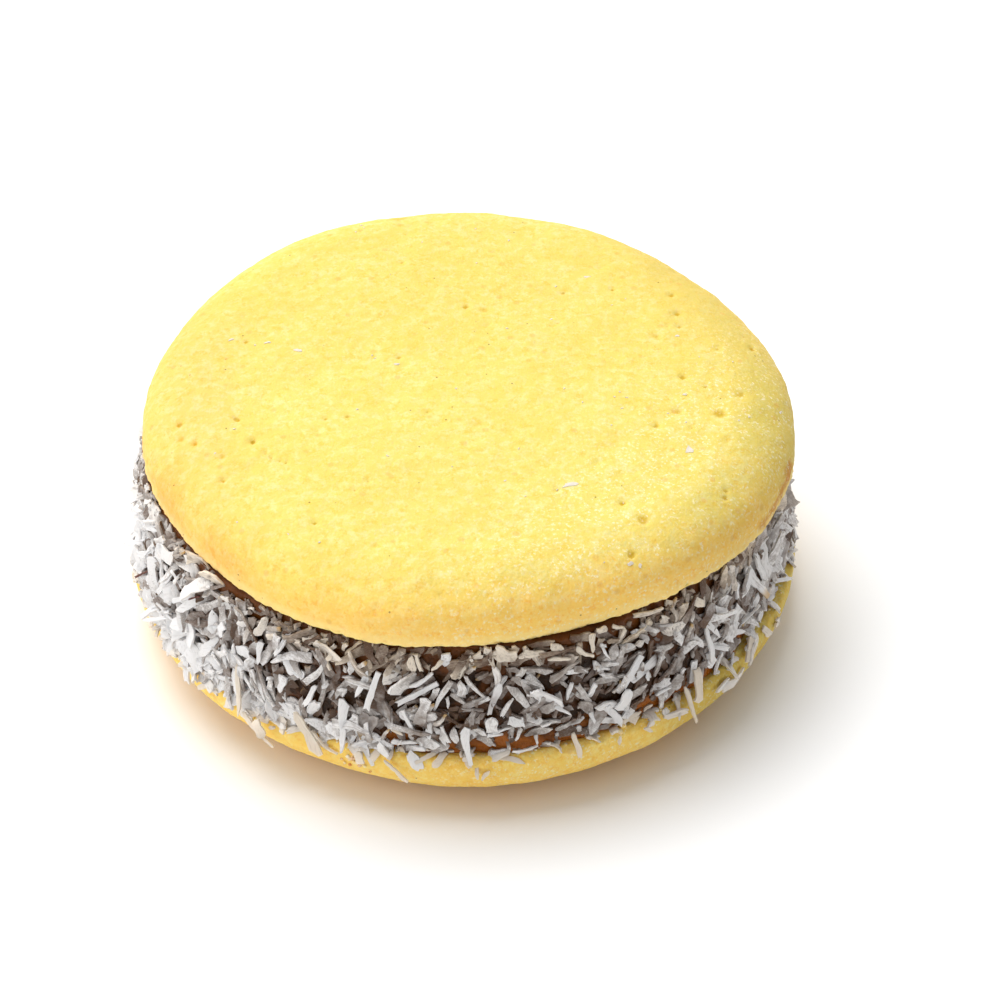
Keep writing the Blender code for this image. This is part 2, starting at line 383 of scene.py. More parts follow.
def doughMaterial(name, finish):
    material, tree, shader, place = startMaterial(name)
    mottle = placeGroup(tree, doughMottle, Place=place)
    sand = placeGroup(tree, sandGrain, Place=place)
    specks = placeGroup(tree, bakedSpecks, Place=place, Spacing=1.8, Radius=0.12)
    dots = placeGroup(tree, bakedSpecks, Place=place, Spacing=2.1, Radius=0.42)
    height = heightOf(tree, place)
    golden = rangeMask(tree, swayed(tree, height, mottle["Tint"], 3.4), *finish["shoulderSpan"])
    right = doVector(tree, "DOT_PRODUCT", place, (0.93, 0.36, 0.0))
    rightShadeMask = rangeMask(tree, right, 19.0, 28.0)       # painted shade: the right side is darkened towards the shade colour and keeps little of the golden shoulder
    golden = doMath(tree, "MULTIPLY", golden, doMath(tree, "MULTIPLY_ADD", rightShadeMask, -finish["shadySide"], 1.0))
    nearRight = doVector(tree, "DOT_PRODUCT", place, (0.8, -0.6, 0.0))
    dusty = doMath(tree, "MULTIPLY_ADD", rangeMask(tree, nearRight, 10.0, 24.0), 0.55, 0.1)

    crown = layColours(
        tree, screenColour(*finish["crown"]), finish, ("crownPale", mottle["Pale"], 0.8),
        ("crownDeep", rangeMask(tree, mottle["Tint"], 0.42, 0.66), 0.3), ("crownDeep", mottle["Deep"], 0.7),
        ("shade", rightShadeMask, 0.8 * finish["shadySide"]))
    side = layColours(
        tree, screenColour(*finish["shoulder"]), finish, ("foot", mottle["Pale"], 0.6),
        ("shoulderDeep", mottle["Deep"], 0.6))
    patches = []
    for middle, spread, amount in finish["browned"]:
        patch = placeGroup(tree, browningAndGlowPatch, Place=place, Middle=middle, Spread=spread)
        patches.append(("brown", patch["Mask"], amount))
    colour = layColours(
        tree, mixColours(tree, golden, crown, side), finish,
        ("foot", rangeMask(tree, height, *finish["footSpan"]), 0.8),
        # the deepest hollows are darkened: painted shade, partly the pits' own deeper orange
        ("pore", rangeMask(tree, readAttribute(tree, "relief"), -0.4, -0.95), 0.85), *patches,
        ("grain", sand["Grains"], dusty), ("dot", dots["Mask"], 0.4), ("speck", specks["Mask"], 0.75))
    # the washes multiply the colour; the darkening towards the right rim is painted shade
    for way, near, far, wash in finish["shadeAndTintWashes"]:
        mask = rangeMask(tree, doVector(tree, "DOT_PRODUCT", place, way), near, far)
        colour = mixColours(tree, mask, colour, screenColour(*wash), "MULTIPLY")
    finishSurface(tree, shader, colour, sand["Height"], sand["Height"], finish["surface"])
    return material


biscuitShape = {
    "crownRise": 0.9,
    "shoulderDepth": 7.2,
    "shoulderSteps": 10,
    "crownSteps": 5,
    "cornerRound": 0.5,
    "swell": 0.16,
    "outlineSteps": 128,
    "voxel": 0.3,
    "rimCrumble": ((0.7, 0.34),),
    "scattered": 46,
}

topShape = {
    "radius": 31.57,
    "rim": 2.4,
    "shoulder": 4.3,
    "crest": 6.0,
    "side": 1,
    "waves": ((1, 0.010, -72), (2, 0.008, -115), (3, 0.016, -25), (4, 0.007, -47), (5, 0.006, -141),
              (6, 0.003, 60)),
    "relief": ((6.0, 0.30), (2.2, 0.16), (0.8, 0.10)),
    # pores, slits and dimples seen on the crown: radius, depth and their places in mm from its middle
    "pits": ((0.62, 0.3, ((-21.8, -5.9), (-20.0, -9.7), (-22.6, -14.7), (-13.8, -21.4), (-25.7, -8.9),
                          (-27.3, -5.7), (20.5, 13.8), (21.1, 10.6), (21.0, 8.5), (28.2, 6.2), (24.8, 5.0),
                          (21.1, 0.0), (18.4, -7.5), (14.9, -18.7), (24.7, -15.7), (24.8, -16.6),
                          (15.6, -24.8), (14.6, 14.3))),
             (0.5, 0.3, ((-18.9, -11.4), (-18.2, -11.9), (-17.4, -12.6), (-16.9, -13.0), (-20.2, -9.4),
                         (-21.5, -6.2))),
             (1.1, 0.2, ((16.8, -20.9), (26.8, -2.1), (18.7, 6.6), (20.4, -5.2), (24.7, -5.2), (13.6, 18.4),
                         (-27.0, -8.0)))),
    # scattered pits lie between two radii, and are small or wide, each by radius and depth
    "scatterSpan": (4, 29),
    "scatteredPits": ((0.5, 0.2), (0.9, 0.12)),
    "seed": 7,
}

bottomShape = {
    "radius": 33.0,
    "rim": 1.9,
    "shoulder": 4.5,
    "crest": 9.0,
    "side": -1,
    "waves": ((2, 0.004, 190), (3, 0.009, 100), (4, 0.004, 28)),
    "relief": ((6.0, 0.22), (2.2, 0.14), (0.8, 0.09)),
    "pits": (),
    "scatterSpan": (10, 31),
    "scatteredPits": ((0.6, 0.25), (1.4, 0.2)),
    "seed": 8,
}


def biscuitRings(shape):
    # from the flat face up to the crest, with the flat face at 0
    radius, rim, shoulder = shape["radius"], shape["rim"], shape["shoulder"]
    corner, depth, rise = (biscuitShape[key] for key in ("cornerRound", "shoulderDepth", "crownRise"))
    shoulderSteps, crownSteps = biscuitShape["shoulderSteps"], biscuitShape["crownSteps"]
    rings = [(radius - corner, 0.0), (radius, corner)]
    for i in range(shoulderSteps + 1):
        turn = 0.5 * math.pi * i / shoulderSteps
        rings.append((radius - depth * (1 - math.cos(turn)), rim + shoulder * math.sin(turn)))
    edge = radius - depth
    for i in range(crownSteps - 1, -1, -1):
        share = i / crownSteps
        reach = shape["crest"] + (edge - shape["crest"]) * share
        rings.append((reach, rim + shoulder + rise * (1 - share ** 2)))
    return rings


def swell(x, y):
    # low hills and hollows of a hand-rolled sheet of dough
    return 0.5 * math.sin(0.21 * x + 0.9) * math.cos(0.17 * y - 0.4) + 0.5 * math.sin(0.12 * x - 0.23 * y)


def modelBiscuit(name, shape, flatHeight):
    side = shape["side"]
    rings = [(radius, side * height) for radius, height in biscuitRings(shape)]
    piece = growDisc(name, biscuitShape["outlineSteps"], rings)
    applyModifier(piece, "REMESH", mode="VOXEL", voxel_size=biscuitShape["voxel"] * mm)
    crest = shape["rim"] + shape["shoulder"] + biscuitShape["crownRise"]
    for vertex in piece.data.vertices:
        x, y, z = vertex.co / mm
        rise = side * z
        stretch = wave(shape["waves"], math.atan2(y, x))
        low = easeBetween(0.0, 1.0, rise)
        if side > 0:
            rise += low * biscuitShape["swell"] * swell(x, y)
        elif math.hypot(x, y) > shape["crest"]:
            rise = min(rise + low * biscuitShape["swell"] * swell(x, y), crest - 0.03)
        vertex.co = Vector((x * stretch, y * stretch, flatHeight + side * rise)) * mm
    return piece


def crumbleRim(piece, shape, flatHeight):
    # the cut edge next to the caramel is rougher than the crown
    rim = piece.vertex_groups.new(name="rim")
    for vertex in piece.data.vertices:
        reach = math.hypot(vertex.co.x, vertex.co.y) / mm
        rise = abs(vertex.co.z / mm - flatHeight)
        weight = easeBetween(shape["radius"] - 1.6, shape["radius"] - 0.6, reach)
        weight *= 1 - easeBetween(0.5, 2.2, rise)
        if weight > 0:
            rim.add([vertex.index], weight, "REPLACE")
    applyRelief(piece, biscuitShape["rimCrumble"], vertex_group="rim")


def pressPits(piece, pits, down):
    # pits of one size are pressed together: each class is radius, depth and its places on the crown
    tree = KDTree(len(piece.data.vertices))
    for vertex in piece.data.vertices:
        tree.insert(vertex.co, vertex.index)
    tree.balance()
    surface = surfaceTree(piece)
    for radius, depth, places in pits:
        bpy.ops.object.mode_set(mode="EDIT")
        bpy.ops.mesh.select_mode(type="VERT")
        bpy.ops.mesh.select_all(action="DESELECT")
        bpy.ops.object.mode_set(mode="OBJECT")
        for x, y in places:
            hit = surface.ray_cast(Vector((x * mm, y * mm, -down * 0.1)), Vector((0, 0, down)))[0]
            if hit is not None:
                piece.data.vertices[tree.find(hit)[1]].select = True
        bpy.ops.object.mode_set(mode="EDIT")
        bpy.ops.transform.translate(value=(0, 0, down * depth * mm), use_proportional_edit=True,
                                    proportional_edit_falloff="SMOOTH", proportional_size=radius * mm)
        bpy.ops.object.mode_set(mode="OBJECT")


def keepRelief(piece, before):
    # how far each point moved along its normal, which darkens the hollows with painted shade and their deeper
    # orange; 1 is a quarter millimetre
    normals = [vertex.normal for vertex in piece.data.vertices]
    values = [(vertex.co - old).dot(normal) / (0.25 * mm)
              for vertex, old, normal in zip(piece.data.vertices, before, normals)]
    setFloatAttribute(piece, "relief", values)


def scatterPlaces(draw, count, inner, outer):
    places = []
    for _ in range(count):
        reach = math.sqrt(draw.uniform(inner ** 2, outer ** 2))
        angle = draw.uniform(0, 2 * math.pi)
        places.append((reach * math.cos(angle), reach * math.sin(angle)))
    return places


def makeBiscuit(name, shape, flatHeight):
    piece = modelBiscuit(name, shape, flatHeight)
    before = [vertex.co.copy() for vertex in piece.data.vertices]
    applyRelief(piece, shape["relief"])
    crumbleRim(piece, shape, flatHeight)
    more = scatterPlaces(random.Random(shape["seed"]), biscuitShape["scattered"], *shape["scatterSpan"])
    small, wide = shape["scatteredPits"]
    pressPits(piece, (*shape["pits"], (*small, more[::2]), (*wide, more[1::2])), -shape["side"])
    keepRelief(piece, before)
    bpy.ops.object.shade_smooth()
    return piece


topBiscuit = makeBiscuit("topBiscuit", topShape, topFlat)
dressPiece(topBiscuit, doughMaterial("topDough", topFinish), "biscuit", "top_biscuit")
bottomBiscuit = makeBiscuit("bottomBiscuit", bottomShape, bottomFlat)
for vertex in bottomBiscuit.data.vertices:
    vertex.co.z = max(vertex.co.z, restHeight)      # keeps the spot it rests on flat
dressPiece(bottomBiscuit, doughMaterial("bottomDough", bottomFinish), "biscuit", "bottom_biscuit")


# The caramel

caramelShape = {
    "foot": 32.0,
    "belly": 31.9,
    "head": 30.9,
    "inset": 0.9,                      # share of its radius at which its upper and lower faces begin
    "waves": ((1, 0.014, -145), (2, 0.006, 175), (3, 0.005, 80), (5, 0.004, 20)),
    "dent": 0.22,
    "steps": 420,
    "rows": 32,
    "relief": ((3.0, 0.7), (1.1, 0.5)),
}

caramelFinish = {
    "dark": (45, 25, 7),
    "brown": (80, 42, 10),
    "recess": (112, 60, 14),
    # painted glow: the foot of the band and the amber patch are lighter orange, as where light comes through
    # thin caramel
    "foot": (172, 98, 32),
    "amberGlow": (214, 122, 34),
    "surface": {"roughness": (0.25, 0.18), "bump": (0.6, 0.3), "shine": 0.14,
                "scatter": (0.12, (1.2, 0.5, 0.15))},
}
caramelLow = bottomFlat + 0.02
caramelHigh = topFlat - 0.02


def caramelRadius(angle, height):
    share = (height - caramelLow) / (caramelHigh - caramelLow)
    foot, belly, head = (caramelShape[key] for key in ("foot", "belly", "head"))
    straight = foot + (head - foot) * share + (belly - 0.5 * (foot + head)) * math.sin(math.pi * share)
    dents = math.sin(7 * angle + 0.9 * height) + math.sin(11 * angle - 0.6 * height + 1.0)
    return straight * wave(caramelShape["waves"], angle) + 0.5 * caramelShape["dent"] * dents


def makeCaramel():
    rows, radius = caramelShape["rows"], caramelShape["foot"]
    inner = radius * caramelShape["inset"]
    rise = (caramelHigh - caramelLow) / rows
    sides = [(radius, caramelLow + rise * i) for i in range(rows + 1)]
    piece = growDisc("caramelBand", caramelShape["steps"], [(inner, caramelLow), *sides, (inner, caramelHigh)])
    for vertex in piece.data.vertices:
        x, y, z = vertex.co / mm
        angle = math.atan2(y, x)
        reach = caramelRadius(angle, z) * math.hypot(x, y) / radius
        vertex.co = Vector((reach * math.cos(angle), reach * math.sin(angle), z)) * mm
    applyRelief(piece, caramelShape["relief"])
    for vertex in piece.data.vertices:
        vertex.co.z = min(max(vertex.co.z, caramelLow * mm), caramelHigh * mm)
    bpy.ops.object.shade_smooth()
    return piece


def caramelMaterial():
    material, tree, shader, place = startMaterial("dulceCaramel")
    lumps = noiseAt(tree, place, 2.4, 3.0, 0.6)
    fine = noiseAt(tree, place, 0.5, 2.0, 0.5)
    uneven = swayed(tree, heightOf(tree, place), lumps, 7.0)
    # painted glow of light through thin caramel: an amber patch low at the front left, and a lighter foot
    glow = placeGroup(tree, browningAndGlowPatch, Place=place, Middle=(-22.0, -22.0, 7.8), Spread=(9.0, 6.5, 2.6))
    colour = layColours(
        tree, screenColour(*caramelFinish["dark"]), caramelFinish,
        ("brown", rangeMask(tree, lumps, 0.42, 0.68), 1), ("recess", rangeMask(tree, uneven, 15.5, 18.5), 0.6),
        ("foot", rangeMask(tree, uneven, 10.0, 8.2), 0.75), ("amberGlow", glow["Mask"], 1))
    finishSurface(tree, shader, colour, fine, doMath(tree, "ADD", fine, lumps), caramelFinish["surface"])
    return material


caramelBand = makeCaramel()
dressPiece(caramelBand, caramelMaterial(), "caramel", "filling")


# Shapes of grated coconut, each modelled once and then copied

shredLook = {
    "kinds": 24,
    "length": (1.8, 4.8),
    "width": (0.5, 1.15),
    "thickness": 0.24,
    "rows": 8,
    "across": 2,
    "bow": 0.07,
    "sweep": 0.07,
    "twist": 22,
    "cup": 0.08,
    "uneven": 0.11,
    "ribs": 0,
    "ribHeight": 0.05,
    "jitter": 0.055,
    "crease": 40,
    "seed": 21,
}
flakeLook = dict(shredLook, kinds=9, length=(2.2, 4.2), width=(1.2, 2.0), thickness=0.2, rows=5, across=6,
                 sweep=0.05, twist=18, cup=0.1, uneven=0.14, ribs=3, seed=33)
bitLook = dict(shredLook, kinds=12, length=(0.6, 1.7), width=(0.3, 0.75), thickness=0.22, rows=3,
               bow=0.08, sweep=0.06, twist=15, cup=0.1, uneven=0.18, seed=45)


def selectRow(piece, x):
    bpy.ops.mesh.select_all(action="DESELECT")
    bpy.ops.object.mode_set(mode="OBJECT")
    for vertex in piece.data.vertices:
        vertex.select = abs(vertex.co.x - x) < 1e-6
    bpy.ops.object.mode_set(mode="EDIT")


def tearEnd(piece, draw, length, width, side):
    # each end is cut slantwise, drawn to a point, rounded, forked or frayed, and a little ragged
    manner = draw.choice(("cut", "point", "round", "round", "fork", "fray"))
    if manner == "fork" and width > 1.2:
        manner = "round"
    slant = math.tan(math.radians(draw.uniform(-40, 40)))
    for vertex in piece.data.vertices:
        share = side * vertex.co.x / (0.5 * length * mm)
        across = vertex.co.y / (0.5 * width * mm)
        atTip = share > 0.95
        if share < 0.5:
            continue
        if manner in ("cut", "round"):
            vertex.co.x += slant * vertex.co.y * (share - 0.5) * 2
        if atTip:
            vertex.co.x += draw.uniform(-0.08, 0.08) * mm
        if manner == "point":
            vertex.co.y *= 1 - 0.75 * (2 * share - 1) ** 2
        elif manner == "round" and atTip:
            vertex.co.x -= side * across ** 2 * 0.3 * min(width, 0.3 * length) * mm
        elif manner == "fork" and atTip:
            vertex.co.x += side * (abs(across) - 0.6) * min(0.1 * length, 0.25) * mm
        elif manner == "fray" and atTip:
            vertex.co.x += side * draw.uniform(-0.3, 0.2) * mm


def modelShred(name, draw, look):
    # a thin strip of uneven width along X, bowed, swept, twisted and cupped, with torn ends
    clearSelection()
    length, width, rows = draw.uniform(*look["length"]), draw.uniform(*look["width"]), look["rows"]
    bpy.ops.mesh.primitive_grid_add(x_subdivisions=rows, y_subdivisions=look["across"], size=1)
    piece = nameNew(name)
    bpy.ops.object.mode_set(mode="EDIT")
    bpy.ops.mesh.select_mode(type="VERT")
    bpy.ops.mesh.select_all(action="SELECT")
    bpy.ops.transform.resize(value=(length * mm, width * mm, 1), center_override=(0, 0, 0))
    bow = draw.uniform(-look["bow"], look["bow"]) * length
    sweep = draw.uniform(-look["sweep"], look["sweep"]) * length
    twist = math.radians(draw.uniform(-look["twist"], look["twist"]))
    uneven = look["uneven"]
    ripple, start = draw.uniform(0.5, 1.5), draw.uniform(0, 6.28)
    manner = draw.choice(("strip", "strip", "blade", "leaf"))
    for i in range(rows + 1):
        share = i / rows
        x = (share - 0.5) * length * mm
        selectRow(piece, x)
        middle = (x, 0, 0)
        taper = {"strip": 1.0, "blade": 1.1 - 0.7 * share, "leaf": 1 - 0.5 * abs(2 * share - 1) ** 3}[manner]
        turn = 2 * math.pi * ripple * share + start
        wide = taper * (1 + uneven * (math.sin(turn) + draw.uniform(-0.4, 0.4)))
        bpy.ops.transform.resize(value=(1, wide, 1), center_override=middle)
        bpy.ops.transform.rotate(value=twist * (share - 0.5), orient_axis="X", center_override=middle)
        curve = 1 - (2 * share - 1) ** 2
        aside = sweep * curve + 0.6 * uneven * width * math.cos(turn)
        bpy.ops.transform.translate(value=(0, aside * mm, bow * curve * mm))
    bpy.ops.mesh.select_all(action="SELECT")
    bpy.ops.transform.vertex_random(offset=look["jitter"] * mm, uniform=0.5, seed=draw.randrange(1, 999))
    bpy.ops.object.mode_set(mode="OBJECT")
    cup = draw.uniform(-look["cup"], look["cup"]) * width
    for vertex in piece.data.vertices:
        across = vertex.co.y / (0.5 * width * mm)
        vertex.co.z += cup * across ** 2 * mm
        vertex.co.z += look["ribHeight"] * mm * math.sin(across * look["ribs"] * math.pi)
    for side in (-1, 1):
        tearEnd(piece, draw, length, width, side)
    applyModifier(piece, "SOLIDIFY", thickness=look["thickness"] * mm, offset=0.0)
    bpy.ops.object.shade_smooth_by_angle(angle=math.radians(look["crease"]))
    return piece


def modelKinds(name, look):
    draw = random.Random(look["seed"])
    return [modelShred(f"{name}{i}", draw, look) for i in range(look["kinds"])]


shredKinds = modelKinds("shredKind", shredLook)
flakeKinds = modelKinds("flakeKind", flakeLook)
bitKinds = modelKinds("bitKind", bitLook)
print("coconut shapes:", len(shredKinds) + len(flakeKinds) + len(bitKinds))


# Laying the coconut on the band, the ledge and the biscuits

caramelTree = surfaceTree(caramelBand)
topTree = surfaceTree(topBiscuit)
bottomTree = surfaceTree(bottomBiscuit)

ledge = {
    "evenBand": 32.2,      # radius of the even band on which the places of the seen shreds were measured
    "flatReach": 32.4,     # how far out a shred lies on the ledge
    "rim": 33.2,           # further out it hangs down the side of the lower biscuit
    "hangs": 0.85,         # how far down it hangs for each mm past the rim
    "span": (32.0, 33.0),
    "reach": 33.9,
}
sunkInTop, sunkInBottom = 0.12, 0.15       # how deep a corner may lie in a biscuit: no deeper than a scratch
goldenTurn = 0.618034                      # spreads the places evenly round the band
frontward = Vector((0.0, -0.77, 0.63))     # the shreds at both ends of the front are turned a little this way


def depthInside(tree, point):
    place, normal, _, distance = tree.find_nearest(point)
    return distance if (point - place).dot(normal) < 0 else -distance


def inwardSpot(tree, angle, height):
    # point and normal where a ray from outside meets a side, at an angle and a height
    outward = outwardAt(angle)
    return tree.ray_cast(outward * 0.06 + Vector((0, 0, height * mm)), -outward)[:2]


def downwardSpot(tree, x, y, start):
    return tree.ray_cast(Vector((x, y, start)) * mm, Vector((0, 0, -1)))[:2]


def bandSpot(angle, height):
    place, normal = inwardSpot(caramelTree, angle, height)
    return place, (normal * 0.5 + outwardAt(angle)).normalized()


def ledgeSpot(angle, reach):
    return downwardSpot(bottomTree, reach * math.cos(angle), reach * math.sin(angle), 12)


def climbSpot(degrees, climb):
    # climb is mm up the band from the ledge, or below zero mm out over the ledge and past its edge
    angle = math.radians(degrees)
    if climb >= 0:
        height = caramelLow + 0.15 + climb
        height -= 0.85 * max(0.0, ledge["evenBand"] - caramelRadius(angle, min(height, caramelHigh)))
        return bandSpot(angle, min(max(height, caramelLow + 0.1), caramelHigh - 0.25))
    outward = outwardAt(angle)
    foot = bandSpot(angle, caramelLow + 0.2)[0]
    reach = math.hypot(foot.x, foot.y) / mm - climb
    level = (outward * 0.3 + Vector((0, 0, 1))).normalized()
    place, _ = ledgeSpot(angle, min(reach, ledge["flatReach"]))
    past = reach - ledge["rim"]
    if past > 0:
        edge = min(33.4 + 0.15 * past, 34.2) * mm
        place = Vector((outward.x * edge, outward.y * edge, place.z - ledge["hangs"] * past * mm))
        level = (outward + Vector((0, 0, 0.3))).normalized()
    return place, level


def laidMatrix(place, normal, along, lift, roll, height, length, scale):
    # along is the direction of the shred's length; lift raises its far end, and its near end stays down
    side = normal.cross(along).normalized()
    along = side.cross(normal).normalized()
    turned = (along * math.cos(lift) + normal * math.sin(lift)).normalized()
    up = turned.cross(side)
    up, side = up * math.cos(roll) + side * math.sin(roll), side * math.cos(roll) - up * math.sin(roll)
    middle = place + normal * height * mm + turned * 0.5 * length * abs(math.sin(lift))
    axes = Matrix((turned * scale[0], side * scale[1], up * scale[2])).transposed()
    return Matrix.Translation(middle) @ axes.to_4x4()


def tipsFit(matrix, kind, reach):
    # no corner may lie deep in a biscuit, stand out past the reach or hide the upper rim
    for along, across in ((-0.5, -0.35), (-0.5, 0.35), (0.5, -0.35), (0.5, 0.35)):
        tip = matrix @ Vector((along * kind.dimensions.x, across * kind.dimensions.y, 0))
        out = math.hypot(tip.x, tip.y) / mm
        rim = topShape["radius"] * wave(topShape["waves"], math.atan2(tip.y, tip.x))
        if out > reach or tip.z > (caramelHigh + 0.05 - 0.85 * max(0.0, out - rim)) * mm:
            return False
        if depthInside(topTree, tip) > sunkInTop * mm or depthInside(bottomTree, tip) > sunkInBottom * mm:
            return False
    return True


def copyShape(kind, matrix, tone, warmth=0.0, fade=0.0, husk=0.0):
    # tone is how white it is, fade how much darker its near end is, and husk how brown its far end is
    copy = kind.copy()
    copy.data = kind.data.copy()
    shares = [0.5 + vertex.co.x / kind.dimensions.x for vertex in copy.data.vertices]
    copy.data.transform(matrix)
    if matrix.determinant() < 0:
        copy.data.flip_normals()
    heights = [-depthInside(caramelTree, vertex.co) / mm for vertex in copy.data.vertices]
    setFloatAttribute(copy, "tone", [tone - fade * (1 - share) for share in shares])
    setFloatAttribute(copy, "warmth", [warmth] * len(shares))
    setFloatAttribute(copy, "stain", [1 - easeBetween(-0.05, 0.4, height) for height in heights])
    setFloatAttribute(copy, "husk", [husk if husk > 1 else husk * easeBetween(0.6, 0.95, share)
                                     for share in shares])
    bpy.context.collection.objects.link(copy)
    return copy


def joinCopies(name, copies):
    clearSelection()
    for copy in copies:
        copy.select_set(True)
    bpy.context.view_layer.objects.active = copies[0]
    bpy.ops.object.join()
    return nameNew(name)


coconutLayers = {
    # how high over the caramel, how far they lift, how white they are and how far out they may reach
    # and what share of them is kept where the photo shows the shreds that stand out
    "sunk": {"height": (-0.06, 0.04), "lift": (0, 5), "tone": (0.0, 0.5), "reach": 33.4, "seen": 1.0,
             "span": (0.02, 0.97)},
    "middle": {"height": (0.04, 0.25), "lift": (0, 10), "tone": (0.2, 0.8), "reach": 33.6, "seen": 0.9,
               "span": (0.02, 0.97)},
    "upper": {"height": (0.25, 0.6), "lift": (2, 20), "tone": (0.6, 1.0), "reach": 33.9, "seen": 0.35,
              "span": (0.02, 0.97)},
    "recess": {"height": (0.02, 0.35), "lift": (0, 8), "tone": (0.0, 0.62), "reach": 33.0, "seen": 0.5,
               "span": (0.8, 0.97), "tucked": 0.8, "gap": (0.05, 1.3)},
    "rim": {"height": (0.0, 0.2), "lift": (0, 6), "tone": (0.0, 0.6), "reach": 33.0, "seen": 0.6,
            "span": (0.9, 0.97), "tucked": 0.75, "gap": (0.0, 0.3)},
    "foot": {"height": (0.15, 0.45), "lift": (0, 14), "tone": (0.7, 1.0), "reach": 33.9, "seen": 1.0,
             "span": (0.0, 0.2), "near": (-138, 24, 50)},
    "standing": {"height": (0.1, 0.3), "lift": (35, 65), "tone": (0.7, 1.0), "reach": 34.1, "seen": 0.1,
                 "span": (0.02, 0.9)},
}


def endNear(degrees, middle, inner, outer):
    # 1 within inner degrees of the middle, and 0 beyond the outer ones
    return 1 - easeBetween(inner, outer, angleBetween(degrees, middle))


def leftness(degrees):
    # 1 on the left and round the back, 0 at the front and the right
    return endNear(degrees, -172, 30, 68)


def coverage(degrees, share):
    # share of the places that are kept: dense at the left, thin in the recess under the top biscuit
    left = leftness(degrees)
    recess = easeBetween(0.7, 0.95, share) * 0.22 * (1 - left)
    return 0.52 + 0.06 * left + 0.3 * endNear(degrees, -10, 20, 42) - recess


def drawnIn(degrees):
    # how much less far the coconut stands out at the left and the right end, and behind them
    ends = max(endNear(degrees, 178, 18, 40), endNear(degrees, 0, 18, 40))
    behind = max(endNear(degrees, 168, 10, 26), endNear(degrees, 16, 10, 26))
    return 0.5 * ends + 0.8 * behind


def turnedShare(degrees):
    aside = angleBetween(degrees, -90)
    return easeBetween(35, 75, aside) * (1 - easeBetween(90, 104, aside))


def seenShare(degrees, share):
    # the front, from the left end to the right end, has the shreds that are placed one by one
    return 1 - endNear(degrees, -80, 65, 85) * (1 - share)


def layOnBand(draw, kinds, layer, count, copies):
    span = caramelHigh - caramelLow
    laid = tries = 0
    while laid < count and tries < count * 6:
        tries += 1
        turn = goldenTurn * tries + draw.uniform(0, 0.03)
        angle = 2 * math.pi * (turn % 1)
        degrees = math.degrees(angle)
        kind = draw.choice(kinds)
        stretch = draw.uniform(0.75, 1.1)
        length = kind.dimensions.x * stretch
        share = draw.uniform(*layer["span"])
        lean = math.radians(draw.gauss(60, 35) if share > 0.8 and draw.random() < 0.4 else draw.gauss(20, 42))
        if "tucked" in layer:                           # its upper end goes in under the top biscuit
            stretch *= layer["tucked"]
            length *= layer["tucked"]
            share = 1 - (draw.uniform(*layer["gap"]) + 0.5 * length / mm * abs(math.cos(lean))) / span
        if "near" in layer and draw.random() > endNear(degrees, *layer["near"]):
            continue
        left, right = leftness(degrees), endNear(degrees, -8, 20, 40)
        if draw.random() > coverage(degrees, share) * seenShare(degrees, layer["seen"] + 0.35 * left):
            continue
        place, normal = bandSpot(angle, caramelLow + span * share)
        normal = (normal + frontward * 0.48 * turnedShare(degrees)).normalized()
        if length < 1.7 * mm and draw.random() < 0.5 * left:        # the left has longer pieces
            continue
        along = Vector((0, 0, 1)) * math.cos(lean) + sidewaysAt(angle) * math.sin(lean)
        if draw.random() < 0.5:
            along = -along
        drawn = drawnIn(degrees) * (0.5 + 0.5 * easeBetween(0.1, 0.4, share))
        wide = draw.choice((-1, 1)) * draw.uniform(0.8, 1.1) * (1 + 0.35 * left + 0.4 * right)
        matrix = laidMatrix(place, normal, along, math.radians(draw.uniform(*layer["lift"])),
                            math.radians(draw.gauss(0, (14 + 16 * left) * (1 - 0.5 * drawn))),
                            draw.uniform(*layer["height"]), length, (stretch, wide, 1))
        allowed = max(layer["reach"] - drawn, math.hypot(place.x, place.y) / mm + 0.5)
        if not tipsFit(matrix, kind, allowed):
            continue
        # painted warm bounce light: pieces high on the band, under the top biscuit, are tinted cream, less so
        # on the left
        warmth = easeBetween(0.65, 0.85, share) * draw.uniform(0.5, 1.0) * (1 - 0.75 * left)
        tone = draw.uniform(*layer["tone"])
        # painted light: pieces on the left are made whiter, where the light falls; at the right end tones are
        # pulled towards mid grey
        tone += left * (0.09 + 0.15 * tone) + 0.5 * right * (0.52 - tone)
        tone = max(tone, 0.3 * easeBetween(1.0, 1.6, kind.dimensions.y / mm))
        husk = draw.choice((0.5, 0.9)) if draw.random() < 0.06 * (1 - left) else 0.0
        copies.append(copyShape(kind, matrix, tone, warmth, draw.choice((0.0, 0.2, 0.55)), husk))
        laid += 1


def layOnLedge(draw, kinds, count, copies):
    laid = tries = 0
    while laid < count and tries < count * 8:
        tries += 1
        angle = draw.uniform(0, 2 * math.pi)
        degrees = math.degrees(angle)
        place, normal = ledgeSpot(angle, draw.uniform(*ledge["span"]))
        if place is None or draw.random() > 0.25 + 0.75 * leftness(degrees):
            continue
        kind = draw.choice(kinds)
        stretch = draw.uniform(0.7, 1.05)
        outward = outwardAt(angle)
        lean = math.radians(draw.uniform(-85, 85))
        along = outward * math.cos(lean) + sidewaysAt(angle) * math.sin(lean)
        level = (normal + outward * 0.25).normalized()
        matrix = laidMatrix(place, level, along, math.radians(draw.uniform(-4, 18)),
                            math.radians(draw.gauss(0, 12)), draw.uniform(0.12, 0.4),
                            kind.dimensions.x * stretch,
                            (stretch, draw.choice((-1, 1)) * draw.uniform(0.8, 1.1), 1))
        if not tipsFit(matrix, kind, ledge["reach"] - drawnIn(degrees)):
            continue
        copies.append(copyShape(kind, matrix, draw.uniform(0.75, 1.0), draw.uniform(0.15, 0.65)))
        laid += 1


